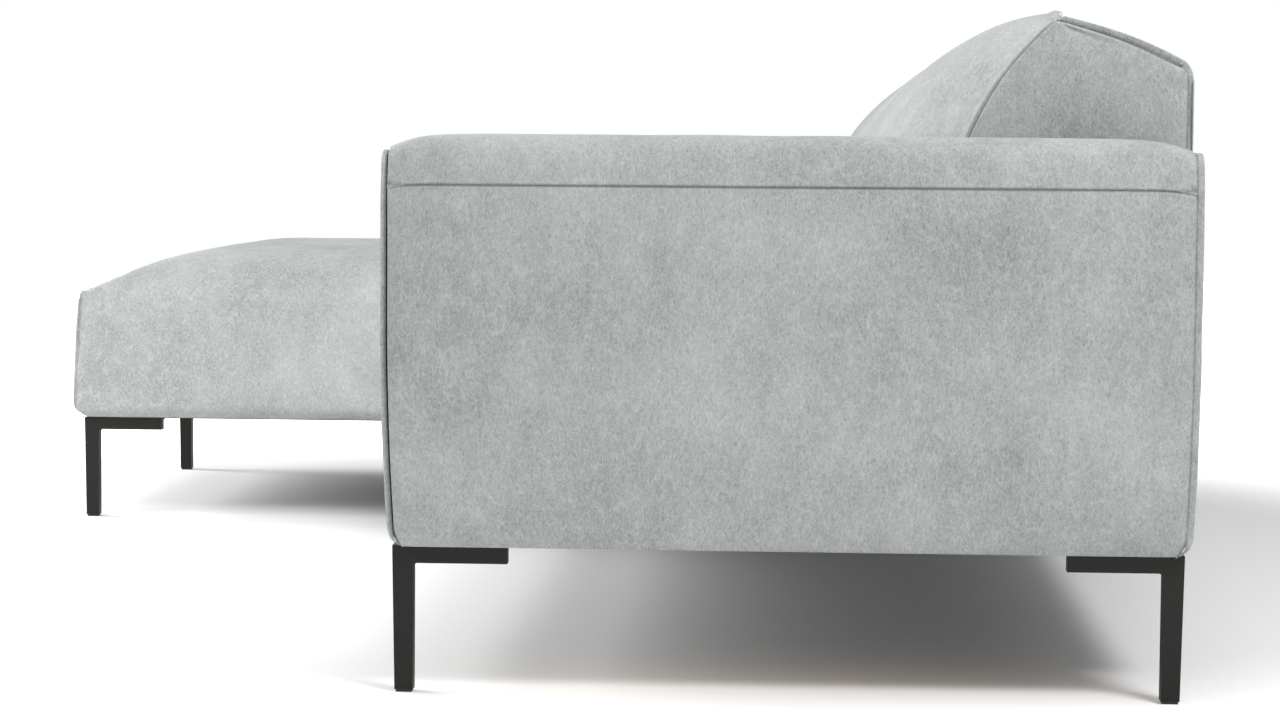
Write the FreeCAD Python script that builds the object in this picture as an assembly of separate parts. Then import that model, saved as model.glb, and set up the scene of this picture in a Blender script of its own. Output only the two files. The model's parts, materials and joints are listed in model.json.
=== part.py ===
"""Lounge sofa with a chaise: a two-seat element and a chaise element, joined side by side.

Millimetres. X runs along the sofa and Y from the front to the back, both from the middle of the
footprint. Z is up from the floor. The two-seat element is at +X and the chaise at -X.
"""
import FreeCAD, Part
import math
import os

V = FreeCAD.Vector

# Overall sizes
seat_width = 782.0
seat_count = 2
chaise_width = 885.0
arm_width = 135.0
sofa_depth = 924.0
chaise_extension = 742.0
leg_height = 168.0
arm_height = 635.0

# Seat form: the crown is the highest line, and the drops are measured down from it
seat_crown_height = 468.0
seat_crown_run = 310.0
seat_climb_power = 2.27
seat_front_drop = 90.0
seat_shoulder_drop = 18.0
seat_roll_rise = 74.0
sofa_side_roll = 48.0
chaise_side_roll = 75.0
seat_front_lean = 11.0
seat_base_round = 18.0

# Back form: its flat ends and its crowned middle. Distances are from the rear face to the ridge,
# and each run goes on forward from there. Shares are of the height from the toe to the ridge.
back_edge_height = 777.0
back_crown_height = 799.0
back_edge_distance = 158.0
back_crown_distance = 135.0
back_shoulder_run = 14.0
back_shoulder_crown_run = 86.0
back_shoulder_fall = 7.0
back_shoulder_crown_fall = 24.0
back_flank_run = 51.0
back_flank_crown_run = 94.0
back_flank_share = 0.775
back_face_run = 40.0
back_face_crown_run = 61.0
back_face_share = 0.52
back_lower_run = 17.0
back_lower_crown_run = 26.0
back_lower_share = 0.27
back_toe_crown_tuck = 14.0
back_seat_clearance = 12.0
back_rear_drop = 60.0
back_root_distance = 270.0
back_pillow_power = 3.5

# Arm form
arm_band_height = 58.0
arm_band_lean = 4.0
arm_top_roll = 27.0
arm_crown = 2.0
arm_front_lean = 10.0
arm_rear_lean = 6.0
arm_base_round = 8.0
arm_belly_height = 260.0
arm_end_drop = 17.0
arm_end_run = 95.0

# Upholstery
cover_wall = 10.0
arm_cover_wall = 4.0
arm_foam_wall = 12.0
panel_cloth = 2.0
dust_cloth_wall = 1.0
felt_thickness = 4.0
soft_gap = 0.3
element_gap = 1.0

# Timber
rail_thickness = 25.0
rail_height = 90.0
ply_thickness = 18.0
board_thickness = 5.0
batten_width = 40.0
deck_thickness = 10.0
post_width = 45.0
post_depth = 35.0
top_rail_height = 40.0
back_frame_drop = 19.0
chaise_post_count = 3
middle_rail_height = 30.0
middle_rail_level = 440.0
rail_setback = 14.0
corner_block_width = 60.0
corner_block_height = 38.0

# Springs and webbing
wire_diameter = 3.6
spring_loop_width = 50.0
spring_pitch_target = 34.0
springs_per_seat = 5
chaise_spring_count = 10
clip_height = 6.0
clip_length = 16.0
clip_wall = 2.7
clip_clearance = 0.3
strap_width = 50.0
strap_thickness = 1.5
strap_count = 4
strap_lowest = 330.0

# Legs
leg_inset_side = 26.0
leg_inset_end = 15.0
leg_bar_depth = 24.0
leg_bar_foot_depth = 21.0
leg_bar_width = 20.0
leg_arm_length = 131.0
leg_arm_height = 17.0
leg_plate_thickness = 3.0
leg_plate_width = 60.0
leg_corner_round = 5.0
glide_thickness = 3.0
glide_margin = 1.5

# Fixings
screw_diameter = 6.0
screw_length = 20.0
screw_head_diameter = 11.0
screw_head_height = 3.0
screw_tip_cover = 2.0
screw_margin = 10.0
leg_screw_inset = 50.0
bolt_diameter = 8.0
bolt_head_diameter = 16.0
bolt_head_height = 5.0
bolt_grip = 28.0
arm_bolt_inset = 203.0
hole_clearance = 0.3
link_length = 150.0
link_width = 50.0
link_thickness = 3.0

# Places that follow from the sizes above
total_length = 2 * arm_width + seat_count * seat_width + chaise_width
total_depth = sofa_depth + chaise_extension
arm_outer_right = total_length / 2
arm_inner_right = arm_outer_right - arm_width
joint_x = arm_inner_right - seat_count * seat_width
arm_inner_left = joint_x - chaise_width
arm_outer_left = arm_inner_left - arm_width
rear_y = total_depth / 2
sofa_front_y = rear_y - sofa_depth
chaise_front_y = -total_depth / 2
seat_front_height = seat_crown_height - seat_front_drop
seat_side_height = seat_crown_height - seat_shoulder_drop - seat_roll_rise
back_toe_height = seat_crown_height + back_seat_clearance
back_rise = back_edge_height - back_toe_height
back_flank_height = back_toe_height + back_flank_share * back_rise
back_face_height = back_toe_height + back_face_share * back_rise
back_lower_height = back_toe_height + back_lower_share * back_rise
back_rear_height = back_edge_height - back_rear_drop
back_frame_top = back_rear_height - back_frame_drop
arm_box_top = arm_height - arm_band_height - 2 * soft_gap
rail_bottom = leg_height + dust_cloth_wall
rail_top = rail_bottom + rail_height
clip_top = rail_top + clip_height
felt_bottom = clip_top + soft_gap
felt_top = felt_bottom + felt_thickness
foam_bottom = felt_top + soft_gap
deck_top = rail_top + deck_thickness
frame_edge = cover_wall + rail_setback
back_root_y = rear_y - back_root_distance
seat_back_y = back_root_y - soft_gap
frame_back_y = rear_y - panel_cloth - soft_gap
post_front_y = frame_back_y - post_depth
strap_front_y = post_front_y - strap_thickness
foam_back_y = strap_front_y - soft_gap
spring_rail_back_y = back_root_y - rail_thickness
spring_rail_front_y = spring_rail_back_y - rail_thickness
corner_block_length = leg_inset_end + leg_arm_length - frame_edge - rail_thickness


# Small shape helpers
def box(x0, x1, y0, y1, z0, z1):
    """Block between two opposite corners, given in any order."""
    low = V(min(x0, x1), min(y0, y1), min(z0, z1))
    return Part.makeBox(abs(x1 - x0), abs(y1 - y0), abs(z1 - z0), low)


def rod(start, direction, radius, length):
    """Round bar from a start point along a direction."""
    return Part.makeCylinder(radius, length, start, direction)


def line(a, b):
    return Part.LineSegment(a, b).toShape()


def arc(a, middle, b):
    return Part.Arc(a, middle, b).toShape()


def prism(outline, direction):
    """Solid between a closed outline and its copy moved along a direction."""
    return Part.Face(outline).extrude(direction)


def blend(a, b, share):
    """Value part of the way from a to b."""
    return a + (b - a) * share


def cut_all(shape, tools):
    """Shape with every tool taken away."""
    for tool in tools:
        shape = shape.cut(tool)
    return shape


def save(name, shapes):
    """Write one node, which holds one solid or several separate ones."""
    solids = [solid for shape in shapes for solid in shape.Solids]
    Part.makeCompound(solids).exportStep("parts/" + name + ".step")
    print(name, len(solids), round(sum(solid.Volume for solid in solids) / 1000), "cm3")


# Seat block: the part that a profile across the seat and a profile along it have in common
def seat_cross_profile(x0, x1, y, side_roll, wall):
    """Closed outline in X and Z: upright sides, rolled shoulders and a shallow crown."""
    floor = leg_height - wall
    left = x0 + wall
    right = x1 - wall
    bend = math.sqrt(0.5)
    side = seat_side_height - wall
    shoulder = seat_crown_height - seat_shoulder_drop - wall
    rise = shoulder - side
    radius = (side_roll ** 2 + rise ** 2) / (2 * side_roll)
    half_turn = math.asin(min(1.0, rise / radius)) / 2
    turn = radius * (1 - math.cos(half_turn))
    bend_z = side + radius * math.sin(half_turn)
    base_turn = seat_base_round * (1 - bend)
    low_left = V(left, y, floor + seat_base_round)
    low_right = V(right, y, floor + seat_base_round)
    base_left = V(left + seat_base_round, y, floor)
    base_right = V(right - seat_base_round, y, floor)
    shoulder_left = V(left + side_roll, y, shoulder)
    shoulder_right = V(right - side_roll, y, shoulder)
    return Part.Wire([
        line(base_left, base_right),
        arc(base_right, V(right - base_turn, y, floor + base_turn), low_right),
        line(low_right, V(right, y, side)),
        arc(V(right, y, side), V(right - turn, y, bend_z), shoulder_right),
        arc(shoulder_right, V((left + right) / 2, y, seat_crown_height - wall), shoulder_left),
        arc(shoulder_left, V(left + turn, y, bend_z), V(left, y, side)),
        line(V(left, y, side), low_left),
        arc(low_left, V(left + base_turn, y, floor + base_turn), base_left),
    ])


def seat_long_profile(x, front_y, back_y, wall):
    """Closed outline in Y and Z: leaning front face, low front edge and a rise to the crown."""
    floor = leg_height - wall
    front = front_y + wall
    roof = seat_crown_height + seat_base_round
    turn = seat_base_round * (1 - math.sqrt(0.5))
    toe = V(x, front + seat_base_round, floor)
    low = V(x, front, floor + seat_base_round)
    edge = V(x, front + seat_front_lean, seat_front_height - wall)
    middle = V(x, front + seat_front_lean / 4, (low.z + edge.z) / 2)
    climb = [edge]
    for share in (0.22, 0.45, 0.72, 1.0):
        rise = seat_front_drop * (1 - (1 - share) ** seat_climb_power)
        climb.append(V(x, blend(edge.y, front + seat_crown_run, share), edge.z + rise))
    crown = climb[-1]
    return Part.Wire([
        arc(toe, V(x, front + turn, floor + turn), low),
        arc(low, middle, edge),
        arc(climb[0], climb[1], climb[2]),
        arc(climb[2], climb[3], crown),
        line(crown, V(x, crown.y, roof)),
        line(V(x, crown.y, roof), V(x, back_y, roof)),
        line(V(x, back_y, roof), V(x, back_y, floor)),
        line(V(x, back_y, floor), toe),
    ])


def seat_block(x0, x1, front_y, side_roll, wall=0.0):
    """Solid seat form. With a wall it is the space inside that wall, open below and behind."""
    back_y = seat_back_y + wall
    across = prism(seat_cross_profile(x0, x1, front_y, side_roll, wall), V(0, back_y - front_y, 0))
    along = prism(seat_long_profile(x0, front_y, back_y, wall), V(x1 - x0, 0, 0))
    return across.common(along)


def seat_pieces(x0, x1, front_y, side_roll, frame_bay):
    """Cover and foam of one seat. The frame bay keeps the cover clear of the rails."""
    cover = seat_block(x0, x1, front_y, side_roll).cut(
        seat_block(x0, x1, front_y, side_roll, cover_wall)).cut(frame_bay)
    core = seat_block(x0, x1, front_y, side_roll, cover_wall + soft_gap)
    above_springs = box(x0, x1, front_y, seat_back_y, foam_bottom, seat_crown_height)
    return cover, core.common(above_springs)


# Back cushion: a loft along X of sections that swell from the flat ends to the middle
def back_section(x, share, wall):
    """Closed outline in Y and Z, from the rear face round over the top and down the front."""
    rear = rear_y - panel_cloth - soft_gap + wall
    floor = deck_top + soft_gap - 2 * wall
    corner = wall * math.sqrt(0.5)
    ridge_height = blend(back_edge_height, back_crown_height, share)
    fall = blend(back_shoulder_fall, back_shoulder_crown_fall, share)
    ridge_y = rear_y - blend(back_edge_distance, back_crown_distance, share)
    shoulder_y = ridge_y - blend(back_shoulder_run, back_shoulder_crown_run, share)
    flank_y = shoulder_y - blend(back_flank_run, back_flank_crown_run, share)
    face_y = flank_y - blend(back_face_run, back_face_crown_run, share)
    lower_y = face_y - blend(back_lower_run, back_lower_crown_run, share)
    toe_y = lower_y + blend(0, back_toe_crown_tuck, share)
    root_y = back_root_y + wall

    rear_low = V(x, rear, floor)
    rear_high = V(x, rear, back_rear_height - wall)
    ridge = V(x, ridge_y, ridge_height - wall)
    ridge_bend = V(x, (ridge_y + shoulder_y) / 2, ridge_height - fall / 4 - wall)
    shoulder = V(x, shoulder_y + corner, ridge_height - fall - corner)
    flank = V(x, flank_y + corner, back_flank_height - corner)
    face = V(x, face_y + wall, back_face_height)
    lower = V(x, lower_y + wall, back_lower_height)
    toe = V(x, toe_y + wall, back_toe_height + wall)
    root_high = V(x, root_y, back_toe_height + wall)
    root_low = V(x, root_y, floor)
    return Part.Wire([
        line(rear_low, rear_high),
        line(rear_high, ridge),
        arc(ridge, ridge_bend, shoulder),
        arc(shoulder, flank, face),
        arc(face, lower, toe),
        line(toe, root_high),
        line(root_high, root_low),
        line(root_low, rear_low),
    ])


def back_block(x0, x1, wall=0.0):
    """Solid back form. With a wall it is the space inside that wall, open behind and below."""
    shares = (0, 0.07, 0.25, 0.5, 0.75, 0.93, 1)
    width = x1 - x0 - 2 * wall
    sections = []
    for share in shares:
        swell = 1 - abs(2 * share - 1) ** back_pillow_power
        sections.append(back_section(x0 + wall + share * width, swell, wall))
    return Part.makeLoft(sections, True, False)


def back_pieces(x0, x1, frame_bay):
    """Cover and foam of one back cushion."""
    cover = back_block(x0, x1).cut(back_block(x0, x1, cover_wall)).cut(frame_bay)
    core = back_block(x0, x1, cover_wall + soft_gap)
    in_front_of_straps = box(x0, x1, 0, foam_back_y, deck_top + soft_gap, back_crown_height)
    return cover, core.common(in_front_of_straps)


# Arm: the part that a profile across the arm and its side outline have in common
def arm_cross_profile(x0, x1, y, wall):
    """Closed outline in X and Z: upright sides, a slightly leaning band and a rolled top."""
    left = x0 + wall
    right = x1 - wall
    floor = leg_height - wall
    top = arm_height - wall
    seam = arm_height - arm_band_height
    bend = math.sqrt(0.5)
    roll_low = top - arm_crown - arm_top_roll
    roll_high = top - arm_crown
    turn = arm_top_roll * (1 - bend)
    lean_left = left + arm_band_lean
    lean_right = right - arm_band_lean
    return Part.Wire([
        line(V(left, y, floor), V(right, y, floor)),
        line(V(right, y, floor), V(right, y, seam)),
        line(V(right, y, seam), V(lean_right, y, roll_low)),
        arc(V(lean_right, y, roll_low), V(lean_right - turn, y, roll_high - turn),
            V(lean_right - arm_top_roll, y, roll_high)),
        arc(V(lean_right - arm_top_roll, y, roll_high), V((left + right) / 2, y, top),
            V(lean_left + arm_top_roll, y, roll_high)),
        arc(V(lean_left + arm_top_roll, y, roll_high), V(lean_left + turn, y, roll_high - turn),
            V(lean_left, y, roll_low)),
        line(V(lean_left, y, roll_low), V(left, y, seam)),
        line(V(left, y, seam), V(left, y, floor)),
    ])


def arm_end(x, face, inward, lean, wall):
    """Points and edges of one end in Y and Z, from the floor to the top.

    The foot draws in by the lean below the belly, and the upper corner is soft.
    """
    top = arm_height - wall
    belly = leg_height + arm_belly_height
    turn = arm_base_round * (1 - math.sqrt(0.5))
    foot = V(x, face + inward * lean, leg_height - wall + arm_base_round)
    base = V(x, foot.y + inward * arm_base_round, leg_height - wall)
    base_bend = V(x, foot.y + inward * turn, base.z + turn)
    shin = V(x, face + inward * lean / 4, (foot.z + belly) / 2)
    low = V(x, face, belly)
    high = V(x, face, top - arm_end_drop)
    soft_bend = V(x, face + inward * arm_end_run / 2, top - arm_end_drop / 4)
    roof = V(x, face + inward * arm_end_run, top)
    edges = [arc(base, base_bend, foot), arc(foot, shin, low), line(low, high), arc(high, soft_bend, roof)]
    return base, roof, edges


def arm_side_outline(x, wall):
    """Closed outline of the arm in Y and Z."""
    front_base, front_roof, front_edges = arm_end(x, sofa_front_y + wall, 1, arm_front_lean, wall)
    rear_base, rear_roof, rear_edges = arm_end(x, rear_y - wall, -1, arm_rear_lean, wall)
    return Part.Wire([line(front_base, rear_base)] + rear_edges + [line(rear_roof, front_roof)]
                     + front_edges[::-1])


def arm_block(inner_x, outer_x, wall=0.0):
    """Solid arm form. With a wall it is the space inside that wall, open below."""
    x0 = min(inner_x, outer_x)
    x1 = max(inner_x, outer_x)
    across = prism(arm_cross_profile(x0, x1, sofa_front_y, wall), V(0, sofa_depth, 0))
    along = prism(arm_side_outline(x0, wall), V(x1 - x0, 0, 0))
    return across.common(along)


def arm_frame_limits(inner_x, outer_x):
    """Inner and outer X and the two Y of the plywood box, and its outward direction in X."""
    out = 1 if outer_x > inner_x else -1
    padding = arm_cover_wall + arm_foam_wall + 2 * soft_gap
    skin = padding + board_thickness
    y0 = sofa_front_y + padding + arm_front_lean
    y1 = rear_y - padding - arm_rear_lean
    return inner_x + out * skin, outer_x - out * skin, y0, y1, out


def arm_frame(inner_x, outer_x):
    """Plywood box of base, top and three dividers, with a batten that the bolts go into."""
    x_in, x_out, y0, y1, out = arm_frame_limits(inner_x, outer_x)
    floor = leg_height
    top = arm_box_top
    base_board = box(x_in, x_out, y0, y1, floor, floor + ply_thickness)
    top_board = box(x_in, x_out, y0, y1, top - ply_thickness, top)
    batten = box(x_in, x_in + out * batten_width, y0, y1,
                 arm_bolt_height() - batten_width / 2, arm_bolt_height() + batten_width / 2)
    dividers = []
    for share in (0.0, 0.5, 1.0):
        start = blend(y0, y1 - ply_thickness, share)
        divider = box(x_in, x_out, start, start + ply_thickness,
                      floor + ply_thickness, top - ply_thickness)
        dividers.append(divider.cut(batten))
    return [base_board, top_board, batten] + dividers


def arm_boards(inner_x, outer_x):
    """Fibreboard sides of the box."""
    x_in, x_out, y0, y1, out = arm_frame_limits(inner_x, outer_x)
    top = arm_box_top
    inner = box(x_in - out * board_thickness, x_in, y0, y1, leg_height, top)
    outer = box(x_out, x_out + out * board_thickness, y0, y1, leg_height, top)
    return [inner, outer]


def arm_bolt_height():
    """Height of the arm bolts, a little above the middle of the side rail."""
    return rail_bottom + rail_height / 2 + ply_thickness


def arm_bolt_places(front_y):
    """Three places along the arm where a bolt goes from the side rail into the batten."""
    first = sofa_front_y + arm_bolt_inset
    last = rear_y - arm_bolt_inset
    return [first, (first + last) / 2, last]


def arm_bolt(inner_x, out, y, slack=0.0):
    """Bolt with its head inside the side rail. With slack it is the hole for the shank."""
    rail_face = inner_x - out * (soft_gap + frame_edge + rail_thickness)
    grip_end = inner_x + out * (arm_cover_wall + arm_foam_wall + 2 * soft_gap + board_thickness + bolt_grip)
    start = V(rail_face, y, arm_bolt_height())
    shank = rod(start, V(out, 0, 0), bolt_diameter / 2 + slack, abs(grip_end - rail_face))
    if slack:
        return shank
    head = rod(start, V(-out, 0, 0), bolt_head_diameter / 2, bolt_head_height)
    return head.fuse(shank)


# Seat frame of one element
class Element:
    """One separately built element: its place, its rails and what is fixed to them."""

    def __init__(self, name, x0, x1, front_y):
        self.name = name
        self.x0 = x0
        self.x1 = x1
        self.front_y = front_y
        self.fx0 = x0 + frame_edge
        self.fx1 = x1 - frame_edge
        self.fy0 = front_y + frame_edge
        self.fy1 = frame_back_y

    def frame_bay(self):
        """Space of the rails and springs, where no inner cover wall may stand."""
        side = cover_wall + rail_setback / 2
        return box(self.x0 + side, self.x1 - side, self.fy0 - soft_gap,
                   rear_y, leg_height - 2 * cover_wall, foam_bottom)

    def back_bay(self):
        """Space of the back posts, rails and straps."""
        side = cover_wall + rail_setback / 2
        return box(self.x0 + side, self.x1 - side, strap_front_y - soft_gap,
                   rear_y, leg_height, back_frame_top + soft_gap)

    def front_rail(self):
        return box(self.fx0, self.fx1, self.fy0, self.fy0 + rail_thickness, rail_bottom, rail_top)

    def rear_rail(self):
        return box(self.fx0, self.fx1, self.fy1 - rail_thickness, self.fy1, rail_bottom, rail_top)

    def side_rails(self):
        y0 = self.fy0 + rail_thickness
        y1 = self.fy1 - rail_thickness
        left = box(self.fx0, self.fx0 + rail_thickness, y0, y1, rail_bottom, rail_top)
        right = box(self.fx1 - rail_thickness, self.fx1, y0, y1, rail_bottom, rail_top)
        return [left, right]

    def spring_rail(self):
        return box(self.fx0 + rail_thickness, self.fx1 - rail_thickness,
                   spring_rail_front_y, spring_rail_back_y, rail_bottom, rail_top)

    def deck_board(self):
        """Board behind the springs that carries the back foam."""
        return box(self.fx0, self.fx1, spring_rail_back_y, post_front_y, rail_top, deck_top)

    def back_posts(self, count):
        """Posts that stand on the rear rail."""
        posts = []
        for index in range(count):
            left = blend(self.fx0, self.fx1 - post_width, index / (count - 1))
            posts.append(box(left, left + post_width, post_front_y, frame_back_y,
                             rail_top, back_frame_top - top_rail_height))
        return posts

    def back_rails(self, count):
        """Top rail over the posts, and middle rails between them."""
        rails = [box(self.fx0, self.fx1, post_front_y, frame_back_y,
                     back_frame_top - top_rail_height, back_frame_top)]
        pitch = (self.fx1 - self.fx0 - post_width) / (count - 1)
        for index in range(count - 1):
            left = self.fx0 + index * pitch + post_width
            rails.append(box(left, left + pitch - post_width, post_front_y + 2 * soft_gap, frame_back_y,
                             middle_rail_level, middle_rail_level + middle_rail_height))
        return rails

    def webbing(self):
        """Elastic straps across the front of the posts."""
        highest = back_frame_top - strap_width
        straps = []
        for index in range(strap_count):
            low = blend(strap_lowest, highest, index / (strap_count - 1))
            straps.append(box(self.fx0, self.fx1, strap_front_y, post_front_y, low, low + strap_width))
        return straps

    def insulator(self):
        """Felt over the springs, under the foam."""
        return box(self.fx0, self.fx1, self.fy0, spring_rail_back_y - soft_gap, felt_bottom, felt_top)

    def rear_panel(self):
        """Outer back cloth, from the lower edge to the back's rear top edge."""
        return box(self.x0, self.x1, rear_y - panel_cloth, rear_y, leg_height, back_rear_height)

    def dust_cloth(self):
        """Thin cloth under the rails."""
        return box(self.fx0, self.fx1, self.fy0, self.fy1, leg_height, rail_bottom)


# Zigzag springs
def serpentine(start, along, across, length, wire_z):
    """Path of straight cross runs joined by half turns, laid flat at one height."""
    turns = max(2, round(length / spring_pitch_target))
    radius = length / turns / 2
    reach = spring_loop_width / 2 - wire_diameter / 2 - radius
    base = V(start.x, start.y, wire_z)
    edges = []
    side = 1
    for index in range(turns + 1):
        here = base + along * (2 * radius * index)
        edges.append(line(here - across * (reach * side), here + across * (reach * side)))
        if index < turns:
            centre = here + across * (reach * side) + along * radius
            top = centre - along * radius
            outside = centre + across * (radius * side)
            bottom = centre + along * radius
            slant = radius * math.sqrt(0.5)
            edges.append(arc(top, centre + across * (slant * side) - along * slant, outside))
            edges.append(arc(outside, centre + across * (slant * side) + along * slant, bottom))
        side = -side
    return Part.Wire(edges)


def spring(start, along, across, length):
    """One zigzag spring of round wire that rests on two rails."""
    wire_z = rail_top + wire_diameter / 2
    path = serpentine(start, along, across, length, wire_z)
    first = path.Vertexes[0].Point
    profile = Part.Wire([Part.Circle(first, across, wire_diameter / 2).toShape()])
    return path.makePipeShell([profile], True, False)


def spring_clip(centre, along, across):
    """Steel clip over the end run of a spring."""
    half_across = 0.5 * clip_length
    half_along = wire_diameter / 2 + clip_clearance + clip_wall
    low = centre - across * half_across - along * half_along
    high = centre + across * half_across + along * half_along
    block = box(low.x, high.x, low.y, high.y, rail_top, clip_top)
    bore = wire_diameter / 2 + clip_clearance
    channel_start = V(centre.x, centre.y, rail_top + wire_diameter / 2) - across * clip_length
    channel = rod(channel_start, across, bore, 2 * clip_length)
    slot_low = centre - across * clip_length - along * bore
    slot_high = centre + across * clip_length + along * bore
    slot = box(slot_low.x, slot_high.x, slot_low.y, slot_high.y, rail_top, rail_top + wire_diameter / 2)
    return block.cut(channel).cut(slot)


def sofa_springs(element):
    """Springs from the front rail to the spring rail, and their clips."""
    along = V(0, 1, 0)
    across = V(1, 0, 0)
    y0 = element.fy0 + rail_thickness / 2
    length = (spring_rail_front_y + spring_rail_back_y) / 2 - y0
    count = springs_per_seat * seat_count
    margin = rail_thickness + spring_loop_width
    span = element.fx1 - element.fx0 - 2 * margin
    master = spring(V(0, y0, 0), along, across, length)
    springs = []
    clips = []
    for index in range(count):
        x = element.fx0 + margin + span * index / (count - 1)
        copy = master.copy()
        copy.translate(V(x, 0, 0))
        springs.append(copy)
        for y in (y0, y0 + length):
            clips.append(spring_clip(V(x, y, 0), along, across))
    return springs, clips


def chaise_springs(element):
    """Springs from side rail to side rail, and their clips."""
    along = V(1, 0, 0)
    across = V(0, 1, 0)
    x0 = element.fx0 + rail_thickness / 2
    length = element.fx1 - rail_thickness / 2 - x0
    margin = rail_thickness + spring_loop_width
    y_first = element.fy0 + margin
    y_last = spring_rail_front_y - margin / 2
    master = spring(V(x0, 0, 0), along, across, length)
    springs = []
    clips = []
    for index in range(chaise_spring_count):
        y = blend(y_first, y_last, index / (chaise_spring_count - 1))
        copy = master.copy()
        copy.translate(V(0, y, 0))
        springs.append(copy)
        for x in (x0, x0 + length):
            clips.append(spring_clip(V(x, y, 0), along, across))
    return springs, clips


# Legs
class Leg:
    """L-shaped steel leg. Its outer corner is under a corner of the sofa, and it points inwards."""

    def __init__(self, name, corner_x, corner_y, x_dir, y_dir, under_arm):
        self.name = name
        self.x_dir = x_dir
        self.y_dir = y_dir
        self.x = corner_x + x_dir * leg_inset_side
        self.y = corner_y + y_dir * leg_inset_end
        self.under_arm = under_arm

    def at(self, z, inward):
        return V(self.x, self.y + self.y_dir * inward, z)

    def weldment(self):
        """Bar, horizontal arm and mounting plate, welded into one."""
        top = leg_height - leg_plate_thickness
        low = top - leg_arm_height
        lean = leg_bar_depth - leg_bar_foot_depth
        bend = leg_corner_round * (1 - math.sqrt(0.5))
        outline = Part.Wire([
            line(self.at(top, 0), self.at(glide_thickness, lean)),
            line(self.at(glide_thickness, lean), self.at(glide_thickness, leg_bar_depth)),
            line(self.at(glide_thickness, leg_bar_depth), self.at(low - leg_corner_round, leg_bar_depth)),
            arc(self.at(low - leg_corner_round, leg_bar_depth),
                self.at(low - bend, leg_bar_depth + bend),
                self.at(low, leg_bar_depth + leg_corner_round)),
            line(self.at(low, leg_bar_depth + leg_corner_round), self.at(low, leg_arm_length)),
            line(self.at(low, leg_arm_length), self.at(top, leg_arm_length)),
            line(self.at(top, leg_arm_length), self.at(top, 0)),
        ])
        bars = Part.Face(outline).extrude(V(self.x_dir * leg_bar_width, 0, 0))
        plate = box(self.x, self.x + self.x_dir * leg_plate_width,
                    self.y, self.y + self.y_dir * leg_arm_length, top, leg_height)
        return cut_all(bars.fuse(plate).removeSplitter(), self.screw_holes())

    def glide(self):
        """Plastic glide under the foot."""
        lean = leg_bar_depth - leg_bar_foot_depth
        return box(self.x + self.x_dir * glide_margin, self.x + self.x_dir * (leg_bar_width - glide_margin),
                   self.y + self.y_dir * (lean + glide_margin),
                   self.y + self.y_dir * (leg_bar_depth - glide_margin), 0, glide_thickness)

    def screw_places(self):
        """Centres of the four screws in the free strip of the plate, beside the bar."""
        places = []
        for across in (leg_bar_width + screw_margin, leg_plate_width - screw_margin):
            for inward in (leg_screw_inset, leg_arm_length - screw_margin):
                places.append((self.x + self.x_dir * across, self.y + self.y_dir * inward))
        return places

    def shank_length(self):
        """A screw under an arm stops inside the base board."""
        if self.under_arm:
            return min(screw_length, leg_plate_thickness + ply_thickness - screw_tip_cover)
        return screw_length

    def screws(self):
        top = leg_height - leg_plate_thickness
        shapes = []
        for x, y in self.screw_places():
            shank = rod(V(x, y, top), V(0, 0, 1), screw_diameter / 2, self.shank_length())
            head = rod(V(x, y, top - screw_head_height), V(0, 0, 1),
                       screw_head_diameter / 2, screw_head_height)
            shapes.append(head.fuse(shank))
        return shapes

    def screw_holes(self):
        top = leg_height - leg_plate_thickness
        return [rod(V(x, y, top), V(0, 0, 1), screw_diameter / 2 + hole_clearance,
                    self.shank_length() + hole_clearance) for x, y in self.screw_places()]

    def corner_block(self, element):
        """Block in the frame's corner that the screws go into."""
        rail_x = element.fx0 if self.x_dir > 0 else element.fx1
        rail_y = element.fy0 if self.y_dir > 0 else element.fy1
        x = rail_x + self.x_dir * rail_thickness
        y = rail_y + self.y_dir * rail_thickness
        block = box(x, x + self.x_dir * corner_block_width, y, y + self.y_dir * corner_block_length,
                    rail_bottom, rail_bottom + corner_block_height)
        return cut_all(block, self.screw_holes())


# Link plates under the joint of the two elements
def link_plate_places():
    """Middle of each plate in Y, clear of the legs in front and behind."""
    reach = leg_inset_end + leg_arm_length + link_width
    return (sofa_front_y + reach, rear_y - reach)


def link_screw_places():
    """Centres of the four screws of each link plate: in the side rails and in the pads beside them."""
    rail_middle = element_gap / 2 + frame_edge + rail_thickness / 2
    pad_screw = link_length / 2 - screw_margin
    places = []
    for y in link_plate_places():
        for x in (-pad_screw, -rail_middle, rail_middle, pad_screw):
            places.append((joint_x + x, y))
    return places


def link_blocks(element, side):
    """Timber pads inside the side rail, above each link plate, for its screws."""
    rail_inner = element.fx1 - rail_thickness if side > 0 else element.fx0 + rail_thickness
    pads = []
    for y in link_plate_places():
        pads.append(box(rail_inner, rail_inner - side * corner_block_width,
                        y - link_width / 2, y + link_width / 2,
                        rail_bottom, rail_bottom + corner_block_height))
    return pads


def link_hole(x, y):
    """Hole for one link screw, through the plate and into the timber."""
    return rod(V(x, y, leg_height - link_thickness), V(0, 0, 1),
               screw_diameter / 2 + hole_clearance, screw_length + hole_clearance)


def link_plates():
    """Steel plates that join the two elements from below."""
    plates = []
    for y in link_plate_places():
        plates.append(box(joint_x - link_length / 2, joint_x + link_length / 2,
                          y - link_width / 2, y + link_width / 2,
                          leg_height - link_thickness, leg_height))
    holes = [link_hole(x, y) for x, y in link_screw_places()]
    return [cut_all(plate, holes) for plate in plates]


def link_screws():
    """Screws of the link plates."""
    under = leg_height - link_thickness
    shapes = []
    for x, y in link_screw_places():
        shank = rod(V(x, y, under), V(0, 0, 1), screw_diameter / 2, screw_length)
        head = rod(V(x, y, under - screw_head_height), V(0, 0, 1),
                   screw_head_diameter / 2, screw_head_height)
        shapes.append(head.fuse(shank))
    return shapes


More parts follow.
